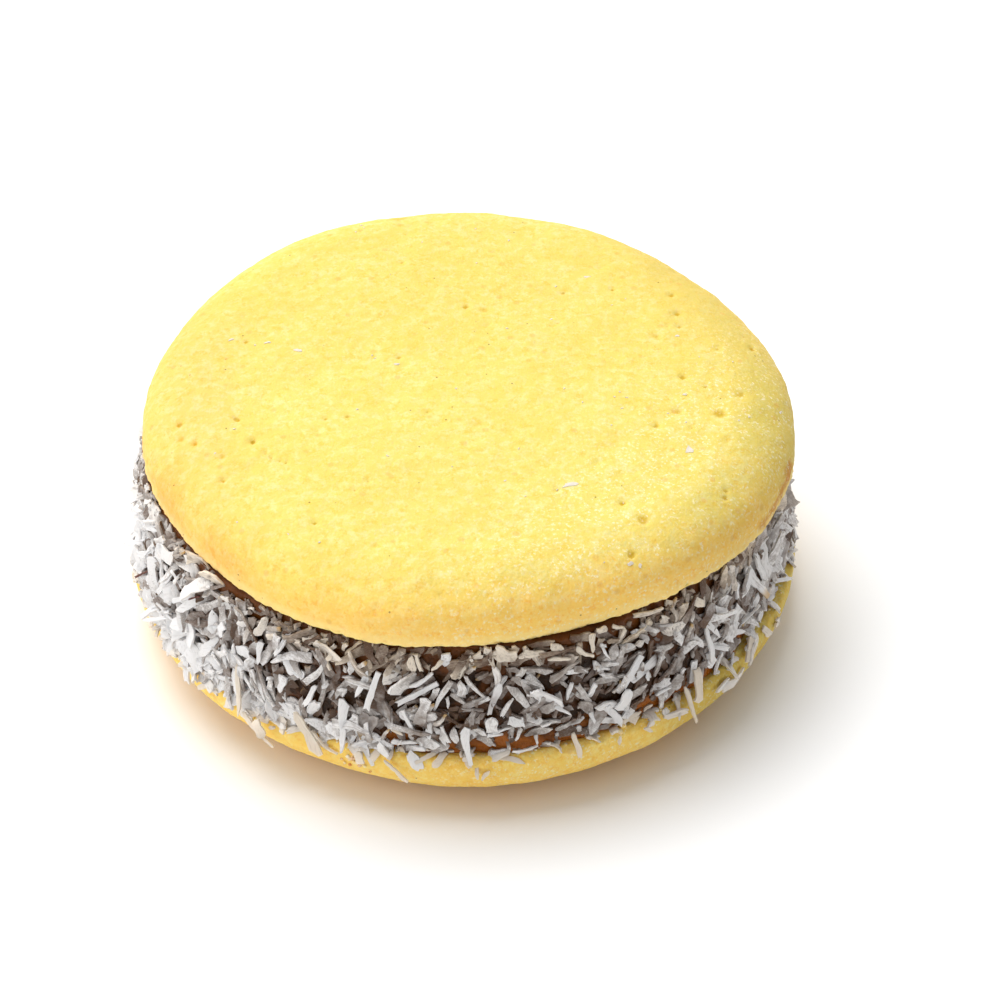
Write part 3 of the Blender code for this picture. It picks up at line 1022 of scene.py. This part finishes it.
shredLooks = {
    # how white, how warm, how high over what carries it, how much husk is on it, how dark its near end, and
    # how many degrees its far end lifts off the band
    "white": (1.0, 0.0, (0.35, 0.6), 0.0, 0.1, 0),
    "pale": (0.8, 0.05, (0.25, 0.5), 0.0, 0.25, 0),
    "grey": (0.58, 0.1, (0.1, 0.3), 0.0, 0.2, 0),
    "wet": (0.12, 0.3, (0.0, 0.06), 0.0, 0.0, 0),
    "cream": (1.0, 0.7, (0.25, 0.45), 0.0, 0.05, 0),
    "faded": (0.85, 0.75, (0.08, 0.3), 0.0, 0.8, 0),
    "tipped": (0.75, 0.3, (0.35, 0.6), 1.0, 0.3, 0),
    "sliver": (0.3, 0.0, (0.65, 0.75), 2.0, 0.0, 0),
    "whisker": (0.75, 0.1, (0.42, 0.48), 0.0, 0.1, 30),
}

seenShreds = {
    # shreds that stand out in the photo, each from where to where, how wide and of which look: a place is
    # degrees round the band and mm up from the ledge, and below zero it is mm out over the ledge
    "left": [
        (-162, 9.4, -154, 12.6, 0.7, "white"), (-165, 4.4, -165, 1.9, 1.5, "white"),
        (-174, 1.8, -162, 6.9, 0.8, "white"), (-157, 9.5, -161, 6.0, 0.5, "white"),
        (-155, 10.2, -146, 10.2, 1.1, "white"), (-157, 8.1, -154, 8.1, 0.9, "pale"),
        (-150, 12.0, -145, 14.5, 0.5, "cream"), (-146, 12.6, -140, 13.7, 1.5, "cream"),
        (-141, 12.5, -135, 14.1, 1.1, "cream"), (-147, 8.7, -143, 9.5, 0.9, "pale"),
        (-153, 4.9, -150, 8.6, 0.6, "white"), (-161, 2.5, -155, 3.8, 1.1, "grey"),
        (-147, 6.4, -138, 11.3, 0.6, "white"), (-138, 11.3, -135, 13.8, 0.5, "grey"),
        (-146, 5.6, -139, 9.6, 1.1, "white"), (-138, 11.0, -133, 11.6, 0.7, "pale"),
        (-153, 4.3, -157, -0.6, 1.1, "white"), (-155, -0.1, -145, 5.2, 0.6, "white"),
        (-148, 1.6, -138, 7.9, 1.4, "white"), (-135, 10.3, -134, 7.6, 1.0, "pale"),
        (-131, 12.0, -130, 7.9, 1.2, "pale"), (-152, -0.2, -148, 1.0, 0.9, "white"),
        (-163, -0.4, -159, 1.3, 0.8, "pale")],
    "leftEnd": [
        (-163, 15.0, -168, 11.1, 0.5, "pale"), (-174, 8.2, -174, 6.0, 0.7, "white"),
        (-174, 6.1, -167, 6.9, 1.0, "white"), (-158, 9.4, -161, 6.2, 0.5, "white")],
    "frontLeft": [
        (-139, 2.7, -135, 6.8, 1.0, "white"), (-142, 1.1, -135, 2.7, 1.1, "white"),
        (-138, 0.6, -134, 2.6, 0.4, "pale"), (-133, 2.4, -131, -1.4, 0.9, "grey"),
        (-131, 4.6, -129, -1.4, 0.6, "cream"), (-129, -1.1, -122, -3.9, 0.6, "cream"),
        (-130, 4.4, -127, 2.1, 0.7, "white"), (-126, 8.5, -126, 5.8, 0.7, "white"),
        (-126, 5.6, -125, 1.6, 0.9, "pale"), (-124, 4.1, -123, 1.9, 1.0, "grey"),
        (-131, 6.2, -128, 6.4, 1.2, "white"), (-120, 11.8, -123, 7.7, 0.6, "white"),
        (-119, 12.3, -118, 8.9, 0.4, "pale"), (-118, 11.1, -113, 12.0, 0.6, "cream"),
        (-121, 7.9, -119, 6.3, 1.0, "white"), (-119, 6.3, -117, 6.9, 0.9, "white"),
        (-117, 5.9, -113, 9.6, 0.9, "pale"), (-123, 6.5, -122, 4.0, 0.8, "grey"),
        (-121, 5.2, -121, 2.6, 0.5, "grey"), (-115, 6.0, -117, 3.3, 0.7, "white"),
        (-113, 6.8, -115, 2.8, 0.6, "grey"), (-128, -0.7, -125, -0.4, 1.3, "white"),
        (-125, 1.2, -120, 0.7, 1.1, "pale"), (-126, -1.2, -124, -3.1, 1.2, "cream"),
        (-113, 3.0, -114, 0.8, 0.6, "grey"), (-119, 2.0, -114, -2.8, 1.2, "cream"),
        (-116, 0.0, -111, -2.1, 0.9, "cream"), (-121, -0.2, -121, -1.9, 0.7, "cream"),
        (-125, 9.7, -122, 10.2, 1.1, "pale")],
    "front": [
        (-109, 10.3, -109, 8.1, 1.1, "pale"), (-109, 8.1, -109, 5.8, 0.9, "wet"),
        (-111, 6.7, -112, 3.6, 1.1, "wet"), (-106, 9.1, -108, 5.8, 0.7, "white"),
        (-104, 9.3, -106, 4.7, 0.7, "white"), (-110, 5.0, -110, -1.6, 1.1, "white"),
        (-109, 3.9, -104, 3.8, 1.1, "grey"), (-103, 8.1, -99, 9.5, 0.4, "grey"),
        (-99, 7.7, -95, 9.9, 0.6, "white"), (-94, 8.6, -101, 5.6, 0.6, "white"),
        (-99, 5.6, -95, 3.4, 1.7, "grey"), (-92, 9.0, -95, 5.3, 0.7, "pale"),
        (-93, 12.4, -93, 10.8, 1.0, "white"), (-99, 11.8, -98, 9.7, 0.8, "cream"),
        (-98, 12.1, -97, 9.9, 0.4, "cream"), (-90, 11.3, -91, 9.2, 0.6, "cream"),
        (-100, 5.2, -98, 2.7, 0.4, "white"), (-106, 2.4, -108, 0.8, 0.8, "wet"),
        (-108, -0.3, -102, 1.2, 0.7, "white"), (-104, 1.1, -102, -0.8, 0.9, "white"),
        (-102, 1.2, -97, 1.3, 0.6, "white"), (-99, 0.3, -97, -1.9, 1.2, "white"),
        (-93, -0.1, -95, -1.7, 0.9, "cream"), (-95, 3.5, -93, 1.3, 0.6, "pale"),
        (-103, -1.3, -99, -3.6, 0.4, "cream"), (-92, 3.3, -91, 1.6, 0.8, "pale")],
    "frontRight": [
        (-90, 3.5, -89, -1.4, 1.1, "white"), (-88, -0.7, -88, -3.3, 0.4, "cream"),
        (-89, 10.2, -87, 12.4, 1.1, "cream"), (-86, 12.4, -85, 9.8, 0.7, "cream"),
        (-85, 12.6, -81, 11.3, 1.8, "cream"), (-80, 11.9, -76, 11.5, 0.9, "cream"),
        (-76, 10.6, -72, 10.3, 0.4, "cream"), (-90, 9.8, -86, 6.6, 0.5, "pale"),
        (-84, 8.7, -86, 4.9, 0.8, "white"), (-82, 9.0, -79, 7.2, 0.8, "grey"),
        (-82, 6.8, -84, 4.8, 0.4, "pale"), (-83, 8.0, -79, 5.0, 0.9, "pale"),
        (-80, 6.1, -76, 6.5, 0.8, "grey"), (-78, 4.7, -74, 5.4, 1.0, "grey"),
        (-72, 7.4, -73, 5.4, 0.5, "white"), (-74, 7.7, -71, 5.6, 0.5, "grey"),
        (-69, 8.3, -73, 8.7, 0.6, "pale"), (-83, 4.2, -80, 3.7, 1.1, "white"),
        (-80, 4.3, -77, 3.5, 1.0, "pale"), (-80, 1.8, -75, 1.9, 1.0, "grey"),
        (-75, 1.9, -70, 2.7, 0.6, "pale"), (-88, 2.0, -85, 0.7, 1.0, "grey"),
        (-86, -0.7, -80, -1.6, 0.9, "cream"), (-72, 1.3, -71, -2.4, 0.7, "cream"),
        (-67, 0.8, -71, 1.0, 0.9, "grey"), (-71, 4.5, -68, 3.4, 1.3, "grey"),
        (-88, 9.7, -85, 8.3, 1.2, "wet")],
    "right": [
        (-68, 13.0, -68, 10.1, 0.7, "cream"), (-67, 12.9, -61, 9.3, 1.1, "grey"),
        (-57, 10.7, -53, 10.5, 1.1, "grey"), (-59, 10.7, -57, 9.0, 0.7, "pale"),
        (-52, 7.4, -56, 7.8, 0.8, "grey"), (-59, 8.3, -63, 5.0, 0.8, "white"),
        (-68, 9.0, -65, 7.7, 0.6, "pale"), (-68, 6.5, -62, 6.2, 0.8, "grey"),
        (-61, 5.6, -58, 5.6, 0.7, "grey"), (-52, 9.4, -50, 7.0, 1.0, "pale"),
        (-48, 9.6, -52, 9.7, 0.9, "wet"), (-45, 8.7, -41, 5.0, 1.1, "white"),
        (-48, 7.6, -45, 5.0, 1.1, "pale"), (-44, 6.9, -43, 2.6, 0.7, "white"),
        (-46, 6.1, -52, 5.5, 1.1, "pale"), (-47, 3.8, -48, 1.2, 0.7, "white"),
        (-47, 2.8, -48, -1.9, 1.1, "cream"), (-50, 1.6, -49, -4.0, 0.5, "cream"),
        (-53, 3.6, -54, 1.1, 0.8, "pale"), (-58, 4.1, -65, 2.8, 1.0, "grey"),
        (-67, 4.0, -63, 0.4, 0.9, "white"), (-61, 2.1, -63, 1.2, 1.1, "pale"),
        (-61, 0.7, -60, -1.1, 1.1, "cream"), (-42, 8.8, -39, 7.1, 1.0, "white"),
        (-47, 12.0, -44, 10.2, 0.9, "cream"), (-42, 4.0, -38, 2.6, 0.6, "white")],
    "rightEnd": [
        (-36, 6.4, -32, 4.2, 0.8, "grey"), (-34, 11.1, -38, 9.0, 0.7, "pale"),
        (-29, 9.1, -33, 6.7, 0.8, "white"), (-35, 9.9, -35, 7.5, 0.3, "white"),
        (-25, 5.9, -30, 3.4, 0.8, "white"), (-20, 5.3, -23, 4.8, 0.8, "grey"),
        (-23, 4.0, -15, -0.2, 0.5, "white"), (-17, 0.9, -23, 2.0, 0.8, "grey"),
        (-25, 2.4, -26, 0.3, 0.8, "pale"), (-38, 3.7, -33, 2.5, 0.7, "white"),
        (-32, 2.5, -30, -0.4, 1.1, "pale"), (-42, 3.9, -38, 2.2, 0.5, "white"),
        (-36, 0.5, -39, -1.1, 0.3, "white"), (-31, -0.4, -35, -1.5, 0.8, "cream")],
    "outline": [
        (-10, 5.6, -6.5, 1.2, 1.0, "grey"), (-11, 7.7, -5, 3.7, 1.1, "grey"),
        (-27, 12.3, -26, 9.7, 0.8, "grey"), (-21, 9.6, -25, 9.8, 0.4, "pale"),
        (-17, 10.3, -20, 9.7, 0.8, "grey"), (-22, 7.1, -19, 2.8, 0.8, "grey"),
        (-6, 6.3, -3.6, 4.0, 0.3, "whisker"), (-15.3, 1.4, -11.7, 3.2, 0.42, "whisker"),
        (-9, -0.7, -5, 0.9, 0.8, "grey"), (-14, -0.8, -11, 0.4, 0.7, "grey"),
        (-176, -0.6, -170, 0.6, 0.8, "white"), (-171, -0.8, -168, 0.9, 0.7, "white"),
        (-178, 0.6, -174, -0.9, 0.7, "pale")],
    "foot": [
        (-98, -1.4, -94.5, -0.3, 0.5, "cream"), (-97.5, 1.1, -95.5, 0.5, 0.6, "faded"),
        (-95.5, 0.2, -92.5, 1.1, 0.9, "grey"), (-93.7, 3.7, -92.4, 1.7, 0.4, "pale"),
        (-88.4, 3.2, -86.2, 2.2, 0.6, "pale"), (-86.2, 2.3, -83.5, 2.4, 0.4, "white"),
        (-87.3, -3.2, -85.9, -2.1, 0.4, "cream"), (-103.6, -0.3, -105, -1.9, 0.8, "cream"),
        (-107.5, -0.8, -106.5, -2.3, 0.9, "cream"), (-90, -0.4, -89, -2.0, 0.6, "cream"),
        (-101.2, 0.1, -99.2, -0.6, 0.6, "cream"), (-85.8, 0.1, -82.5, 0.4, 0.5, "pale"),
        (-102.2, 2.7, -100, 2.1, 0.4, "cream"), (-99, 2.5, -98.3, 1.4, 0.6, "grey"),
        (-96.3, 2.9, -96.2, 1.7, 0.6, "grey"), (-86.8, 4.1, -85, 3.0, 0.6, "pale"),
        (-77.5, 2.9, -75.5, 3.2, 0.4, "white"), (-75, 5.1, -72.3, 3.6, 0.5, "white"),
        (-82.3, 0.2, -77.8, 0.5, 0.35, "white"), (-78.2, 1.7, -78, 0.6, 0.4, "pale"),
        (-83, 1.7, -82.7, -0.2, 0.4, "grey"), (-85.3, 2.6, -82, 3.1, 0.4, "white"),
        (-80.8, 3.1, -81.7, 1.6, 0.4, "pale"), (-72.4, 6.1, -69.6, 4.9, 0.7, "grey"),
        (-68.8, 3.2, -68.2, 1.8, 0.5, "white"), (-68, 7.1, -69, 5.4, 0.6, "grey"),
        (-66.7, 1.7, -63.3, 1.0, 0.8, "white"), (-62, 3.5, -62.4, 1.1, 0.9, "pale"),
        (-63.2, 0.4, -59, 0.9, 0.8, "cream"), (-59.6, -1.3, -58.1, -2.1, 0.4, "cream"),
        (-64, -0.9, -64.5, -1.9, 0.3, "cream"), (-58.4, 0.7, -56.4, 1.0, 0.4, "cream"),
        (-56.3, 2.2, -53, 2.5, 0.3, "white"), (-74.8, -0.1, -74.1, -1.1, 0.4, "cream"),
        (-69.1, -0.3, -67.4, -1.1, 0.3, "cream"), (-74.8, 1.3, -72.9, 1.0, 0.6, "pale")],
    "recess": [
        (-103.2, 12.0, -101.6, 11.0, 0.6, "faded"), (-101, 12.4, -100.6, 11.3, 0.6, "faded"),
        (-103.2, 10.4, -100.4, 9.4, 0.6, "faded"), (-100.4, 11.6, -99, 9.5, 0.9, "faded"),
        (-97.6, 11.1, -95.5, 10.0, 0.7, "faded"), (-89.7, 12.2, -92, 9.2, 0.8, "faded"),
        (-86.8, 13.0, -85.1, 12.5, 0.9, "cream"), (-80.8, 11.2, -78.9, 12.2, 0.6, "cream"),
        (-79.9, 13.0, -79.5, 11.9, 0.5, "cream"), (-75.5, 12.5, -73.4, 11.5, 0.9, "cream"),
        (-79.3, 12.9, -74.5, 12.8, 0.6, "faded"), (-83.1, 10.0, -80.5, 9.5, 0.6, "grey"),
        (-80.7, 9.9, -75.3, 8.9, 0.7, "grey"), (-79.6, 8.9, -76.5, 7.0, 0.7, "pale"),
        (-77.2, 7.4, -77.8, 5.8, 0.35, "white"), (-92.4, 8.7, -90.9, 7.5, 0.9, "grey"),
        (-92.8, 6.9, -92.6, 5.6, 0.45, "pale"), (-91.9, 7.3, -88.5, 5.5, 0.6, "grey"),
        (-88.6, 6.5, -86.3, 7.2, 0.5, "grey"), (-72, 12.9, -67.7, 12.3, 1.1, "faded"),
        (-71, 11.5, -67.9, 9.8, 0.7, "cream"), (-67.1, 13.0, -65, 12.9, 0.7, "cream"),
        (-64, 13.0, -61.7, 12.3, 0.4, "cream"), (-61.9, 12.4, -62.8, 11.4, 0.4, "cream"),
        (-66.8, 11.1, -65.5, 10.8, 0.35, "white"), (-66.4, 10.8, -65, 9.1, 0.35, "white"),
        (-64.3, 10.8, -64, 9.0, 1.0, "pale"), (-63.1, 9.9, -60, 9.6, 0.7, "pale"),
        (-60.6, 11.1, -58.5, 11.0, 0.45, "white"), (-58.4, 11.7, -55, 10.0, 0.6, "pale"),
        (-55, 10.8, -51.8, 10.2, 0.35, "pale"), (-59.6, 12.9, -53.4, 12.7, 0.45, "cream"),
        (-55.8, 11.9, -51.8, 11.7, 1.5, "grey"), (-52.6, 12.9, -48.8, 12.2, 0.7, "cream"),
        (-48.5, 12.9, -45.3, 12.2, 1.0, "faded"), (-55.6, 8.6, -50.8, 8.7, 0.9, "grey"),
        (-66.7, 8.5, -63.3, 8.3, 0.6, "pale")],
    "husk": [
        (-163.5, 2.1, -159.9, 4.5, 0.22, "sliver"), (-142.5, 8.3, -140.2, 9.6, 0.2, "sliver"),
        (-95.0, 3.9, -93.0, 5.2, 0.6, "tipped"), (-103.6, 1.4, -102.2, 2.8, 0.5, "tipped"),
        (-149.5, 11.2, -147.0, 12.6, 0.5, "tipped"), (-124.8, 10.6, -122.0, 11.3, 0.6, "tipped"),
        (-7.5, -1.2, -6.5, 0.6, 0.6, "tipped"), (-107.6, 9.4, -106.0, 10.3, 0.5, "tipped"),
        (-96.3, 5.0, -94.8, 6.4, 0.5, "tipped"), (-89.6, 10.0, -88.2, 11.0, 0.5, "tipped"),
        (-49.0, 7.2, -47.6, 8.6, 0.4, "tipped"), (-64.6, 4.6, -63.0, 5.8, 0.4, "tipped")],
}


def laySeen(draw, kinds, widths, copies):
    narrowest, widest = widths
    for startAngle, startClimb, endAngle, endClimb, width, look in sum(seenShreds.values(), []):
        if not narrowest <= width < widest:
            continue
        tone, warmth, heights, husk, fade, lift = shredLooks[look]
        start, startNormal = climbSpot(startAngle, startClimb)
        end, endNormal = climbSpot(endAngle, endClimb)
        length = (end - start).length
        normal = (startNormal + endNormal).normalized()
        if lift == 0:
            normal = (normal + frontward * 0.6 * (1 - max(0.0, normal.dot(frontward)))).normalized()
        kind = min(draw.sample(kinds, 4), key=lambda one: abs(
            one.dimensions.x / one.dimensions.y - length / mm / width))
        scale = (length / kind.dimensions.x, width * mm / kind.dimensions.y, 1)
        matrix = laidMatrix((start + end) / 2, normal, end - start, math.radians(lift),
                            math.radians(draw.gauss(0, 8)), draw.uniform(*heights), length, scale)
        # painted shade: seen pieces high in the recess under the top biscuit are made darker
        tone += draw.uniform(-0.08, 0.08) - 0.22 * easeBetween(9, 12, startClimb)
        copies.append(copyShape(kind, matrix, tone, warmth, fade, husk))


coconutFinish = {
    "white": (230, 227, 225),
    "grey": (170, 163, 158),
    "wet": (86, 60, 38),
    "stain": (72, 42, 16),
    "cream": (250, 232, 204),
    "husk": (186, 146, 76),
    "sliver": (96, 46, 32),
    "surface": {"roughness": (0.2, 0.45), "bump": (0.4, 0.06), "shine": 0.5,
                "scatter": (0.35, (0.5, 0.45, 0.4))},
}

coconutPieces = {
    # which shapes, how many in each layer and on the ledge, and the widths of the seen ones among them
    "coconutShreds": {"kinds": shredKinds, "ledge": 90, "widths": (0, 1.3), "seed": 101, "layers": {
        "sunk": 330, "middle": 480, "upper": 305, "recess": 205, "rim": 50, "foot": 62, "standing": 25}},
    "coconutFlakes": {"kinds": flakeKinds, "ledge": 0, "widths": (1.3, 3), "seed": 102, "layers": {
        "sunk": 76, "middle": 66, "upper": 48, "recess": 12, "foot": 12}},
    "coconutBits": {"kinds": bitKinds, "ledge": 200, "widths": (0, 0), "seed": 103, "layers": {
        "sunk": 400, "middle": 390, "upper": 200, "recess": 245, "rim": 125, "foot": 80, "standing": 16}},
}


def makeCoconut(name, plan):
    draw = random.Random(plan["seed"])
    copies = []
    for layer, count in plan["layers"].items():
        layOnBand(draw, plan["kinds"], coconutLayers[layer], count, copies)
    layOnLedge(draw, plan["kinds"], plan["ledge"], copies)
    laySeen(draw, plan["kinds"], plan["widths"], copies)
    return joinCopies(name, copies)


def coconutMaterial():
    material, tree, shader, place = startMaterial("gratedCoconut")
    tone, warmth, stain, husk = (readAttribute(tree, name) for name in ("tone", "warmth", "stain", "husk"))
    layout = addNode(tree, "UVMap", {"uv_map": "UVMap"}).outputs["UV"]
    apart = addNode(tree, "CombineXYZ", None, doMath(tree, "MULTIPLY", tone, 37.0),
                    doMath(tree, "MULTIPLY", tone, 11.0)).outputs["Vector"]
    along = doVector(tree, "MULTIPLY", doVector(tree, "ADD", layout, apart), (1.5, 5.0, 1.0))
    fibre = noiseAt(tree, along, 1.0)
    lightness = swayed(tree, tone, noiseAt(tree, place, 0.7, 2.0, 0.6), 0.7)
    lightness = swayed(tree, lightness, fibre, 0.7)
    colour = layColours(
        tree, screenColour(*coconutFinish["wet"]), coconutFinish,
        ("grey", rangeMask(tree, lightness, 0.0, 0.5), 1), ("white", rangeMask(tree, lightness, 0.4, 0.8), 1),
        ("grey", rangeMask(tree, fibre, 0.5, 0.3), 0.3))
    # warmth multiplies in cream: the cream of cream pieces, and painted warm bounce light high on the band
    colour = mixColours(tree, warmth, colour, screenColour(*coconutFinish["cream"]), "MULTIPLY")
    colour = layColours(
        tree, colour, coconutFinish, ("husk", rangeMask(tree, husk, 0.1, 1.0), 0.85),
        ("sliver", rangeMask(tree, husk, 1.2, 1.8), 1), ("stain", stain, 0.75))
    finishSurface(tree, shader, colour, fibre, fibre, coconutFinish["surface"])
    return material


gratedCoconut = coconutMaterial()
for name, plan in coconutPieces.items():
    dressPiece(makeCoconut(name, plan), gratedCoconut, "coconut", "filling")


# White flecks on the crown

crownFlecks = {
    # x and y on the crown, length, width and which way it lies
    "seen": [(21.4, -10.8, 1.2, 0.85, 95), (10.1, -16.4, 1.7, 0.55, 14), (12.3, 16.5, 0.9, 0.4, 10),
             (-16.2, 4.2, 0.9, 0.4, 160), (-19.2, 5.6, 0.7, 0.3, 0), (-22.8, 6.4, 0.6, 0.3, 20),
             (20.9, 6.8, 0.5, 0.3, 0), (30.6, -2.8, 0.6, 0.3, 60), (21.3, -2.6, 0.5, 0.3, 0),
             (15.5, -25.6, 0.7, 0.4, 30), (16.4, -25.5, 0.5, 0.35, 100), (-6.5, 1.6, 0.6, 0.3, 10)],
    "scattered": 44,
    "flatness": 0.4,
    "seed": 301,
}


def makeCrownFlecks():
    draw = random.Random(crownFlecks["seed"])
    places = list(crownFlecks["seen"])
    for x, y in scatterPlaces(draw, crownFlecks["scattered"], 2, 30):
        places.append((x, y, draw.uniform(0.15, 0.35), draw.uniform(0.1, 0.2), draw.uniform(0, 180)))
    copies = []
    for x, y, length, width, turn in places:
        place, normal = downwardSpot(topTree, x, y, 40)
        if place is None:
            continue
        kind = draw.choice(bitKinds)
        scale = (length * mm / kind.dimensions.x, width * mm / kind.dimensions.y, crownFlecks["flatness"])
        matrix = laidMatrix(place, normal, outwardAt(math.radians(turn)), 0.0, 0.0, 0.0, length * mm, scale)
        copies.append(copyShape(kind, matrix, 1.0, 0.6))
    return joinCopies("crownFlecks", copies)


dressPiece(makeCrownFlecks(), gratedCoconut, "coconut")
for kind in shredKinds + flakeKinds + bitKinds:
    bpy.data.objects.remove(kind)


# Crumbs of biscuit on the ledge and the edge of the lower biscuit

crumbLook = {
    "kinds": 6,
    "size": (0.3, 0.62),
    "uneven": 0.12,
    "crease": 50,
    "loose": 90,
    "cluster": (-107.8, 5.4, 26),      # degrees, height and count of the browned crumbs at the front
    "seen": [(-63.3, 32.8, 0.5), (-63.9, 32.3, 0.45), (-62.6, 32.5, 0.6), (-55.8, 32.2, 0.5),
             (-56.9, 32.6, 0.55), (-57.5, 32.3, 0.4), (-46.2, 33.0, 0.5), (-45.3, 32.8, 0.4)],
    "browned": (226, 146, 82),
    "pale": (252, 218, 140),
    "grain": (255, 238, 200),
    "surface": {"roughness": (0.12, 0.78), "bump": (0.6, 0.1), "shine": 0.25,
                "scatter": (0.18, (0.8, 0.5, 0.2))},
    "seed": 401,
}


def modelCrumb(name, draw):
    clearSelection()
    bpy.ops.mesh.primitive_ico_sphere_add(subdivisions=2, radius=0.5 * mm)
    piece = nameNew(name)
    editAll()
    flat = draw.uniform(0.55, 0.85)
    size = (draw.uniform(0.8, 1.2), draw.uniform(0.8, 1.2), flat)
    bpy.ops.transform.resize(value=size, center_override=(0, 0, 0))
    bpy.ops.transform.vertex_random(offset=crumbLook["uneven"] * mm, uniform=0.4, seed=draw.randrange(1, 999))
    bpy.ops.object.mode_set(mode="OBJECT")
    bpy.ops.object.shade_smooth_by_angle(angle=math.radians(crumbLook["crease"]))
    return piece


def makeCrumbs():
    draw = random.Random(crumbLook["seed"])
    kinds = [modelCrumb(f"crumbKind{i}", draw) for i in range(crumbLook["kinds"])]
    rows = [(ledgeSpot(math.radians(degrees), reach), size, 0.9) for degrees, reach, size in crumbLook["seen"]]
    degrees, height, count = crumbLook["cluster"]
    for _ in range(count):
        angle = math.radians(degrees + draw.gauss(0, 1.5))
        spot = inwardSpot(bottomTree, angle, height + draw.gauss(0, 0.5))
        rows.append((spot, draw.uniform(0.15, 0.42), draw.choice((0.2, 0.4, 0.7, 1.0))))
    for _ in range(crumbLook["loose"]):
        angle = draw.uniform(0, 2 * math.pi)
        size = draw.uniform(*crumbLook["size"]) * draw.uniform(0.5, 1.0)
        rows.append((ledgeSpot(angle, draw.uniform(31.8, 33.0)), size * 0.8, draw.uniform(0.5, 1.0)))
    copies = []
    for (place, normal), size, tone in rows:
        if place is None:
            continue
        along = outwardAt(draw.uniform(0, 2 * math.pi)) + Vector((0, 0, 0.1))
        matrix = laidMatrix(place, normal, along, 0.0, 0.0, 0.22 * size, 0.0, (size, size, size))
        copies.append(copyShape(draw.choice(kinds), matrix, tone))
    crumbs = joinCopies("ledgeCrumbs", copies)
    for kind in kinds:
        bpy.data.objects.remove(kind)
    return crumbs


def crumbMaterial():
    material, tree, shader, place = startMaterial("doughCrumb")
    sand = placeGroup(tree, sandGrain, Place=place)
    colour = layColours(
        tree, screenColour(*crumbLook["browned"]), crumbLook,
        ("pale", rangeMask(tree, readAttribute(tree, "tone"), 0.1, 0.8), 1),
        ("grain", rangeMask(tree, noiseAt(tree, place, 0.4), 0.4, 0.65), 1))
    finishSurface(tree, shader, colour, sand["Height"], sand["Height"], crumbLook["surface"])
    return material


dressPiece(makeCrumbs(), crumbMaterial(), "biscuit")


# Floor, light and camera

studio = {
    "floorSize": 4000,
    "floorColour": (244, 244, 244),
    "floorRoughness": 0.9,
    "floorShine": 0.1,
    "worldStrength": 0.4,
    # each light is where it comes from, its strength and its spread in degrees
    "keyLight": ((-0.45, 0.5, 1.6), 2.5, 45),
    "fillLight": ((-1.0, -0.2, 0.4), 1.34, 70),
    "backLight": ((0.3, 1.0, 0.8), 0.72, 70),
}

cameraPlace = {
    "location": (2.0, -350.2, 298.7),
    "aim": (3.5, 0.0, 11.4),
    "lens": 164.8,
}


def addSun(name, direction, strength, spread):
    light = bpy.data.lights.new(name, "SUN")
    light.energy = strength
    light.angle = math.radians(spread)
    lamp = bpy.data.objects.new(name, light)
    bpy.context.collection.objects.link(lamp)
    lamp.rotation_euler = Vector(direction).to_track_quat("Z", "Y").to_euler()
    lamp.location = Vector(direction) * 0.5


def setStudio():
    clearSelection()
    bpy.ops.mesh.primitive_plane_add(size=studio["floorSize"] * mm)
    floor = nameNew("studioFloor")
    material, _, shader, _ = startMaterial("studioPaper")
    shader.inputs["Base Color"].default_value = screenColour(*studio["floorColour"])
    shader.inputs["Roughness"].default_value = studio["floorRoughness"]
    shader.inputs["Specular IOR Level"].default_value = studio["floorShine"]
    floor.data.materials.append(material)

    world = bpy.data.worlds.new("studioRoom")
    world.use_nodes = True
    background = world.node_tree.nodes["Background"]
    background.inputs["Color"].default_value = (1.0, 1.0, 1.0, 1.0)
    background.inputs["Strength"].default_value = studio["worldStrength"]
    bpy.context.scene.world = world
    for name in ("keyLight", "fillLight", "backLight"):
        addSun(name, *studio[name])
    bpy.context.scene.view_settings.view_transform = "Standard"


def setCamera():
    data = bpy.data.cameras.new("photoCamera")
    data.lens = cameraPlace["lens"]
    data.clip_start = 0.01
    camera = bpy.data.objects.new("photoCamera", data)
    bpy.context.collection.objects.link(camera)
    camera.location = Vector(cameraPlace["location"]) * mm
    sight = Vector(cameraPlace["aim"]) * mm - Vector(cameraPlace["location"]) * mm
    camera.rotation_euler = sight.to_track_quat("-Z", "Y").to_euler()
    bpy.context.scene.camera = camera


setStudio()
setCamera()
print("studio and camera set")
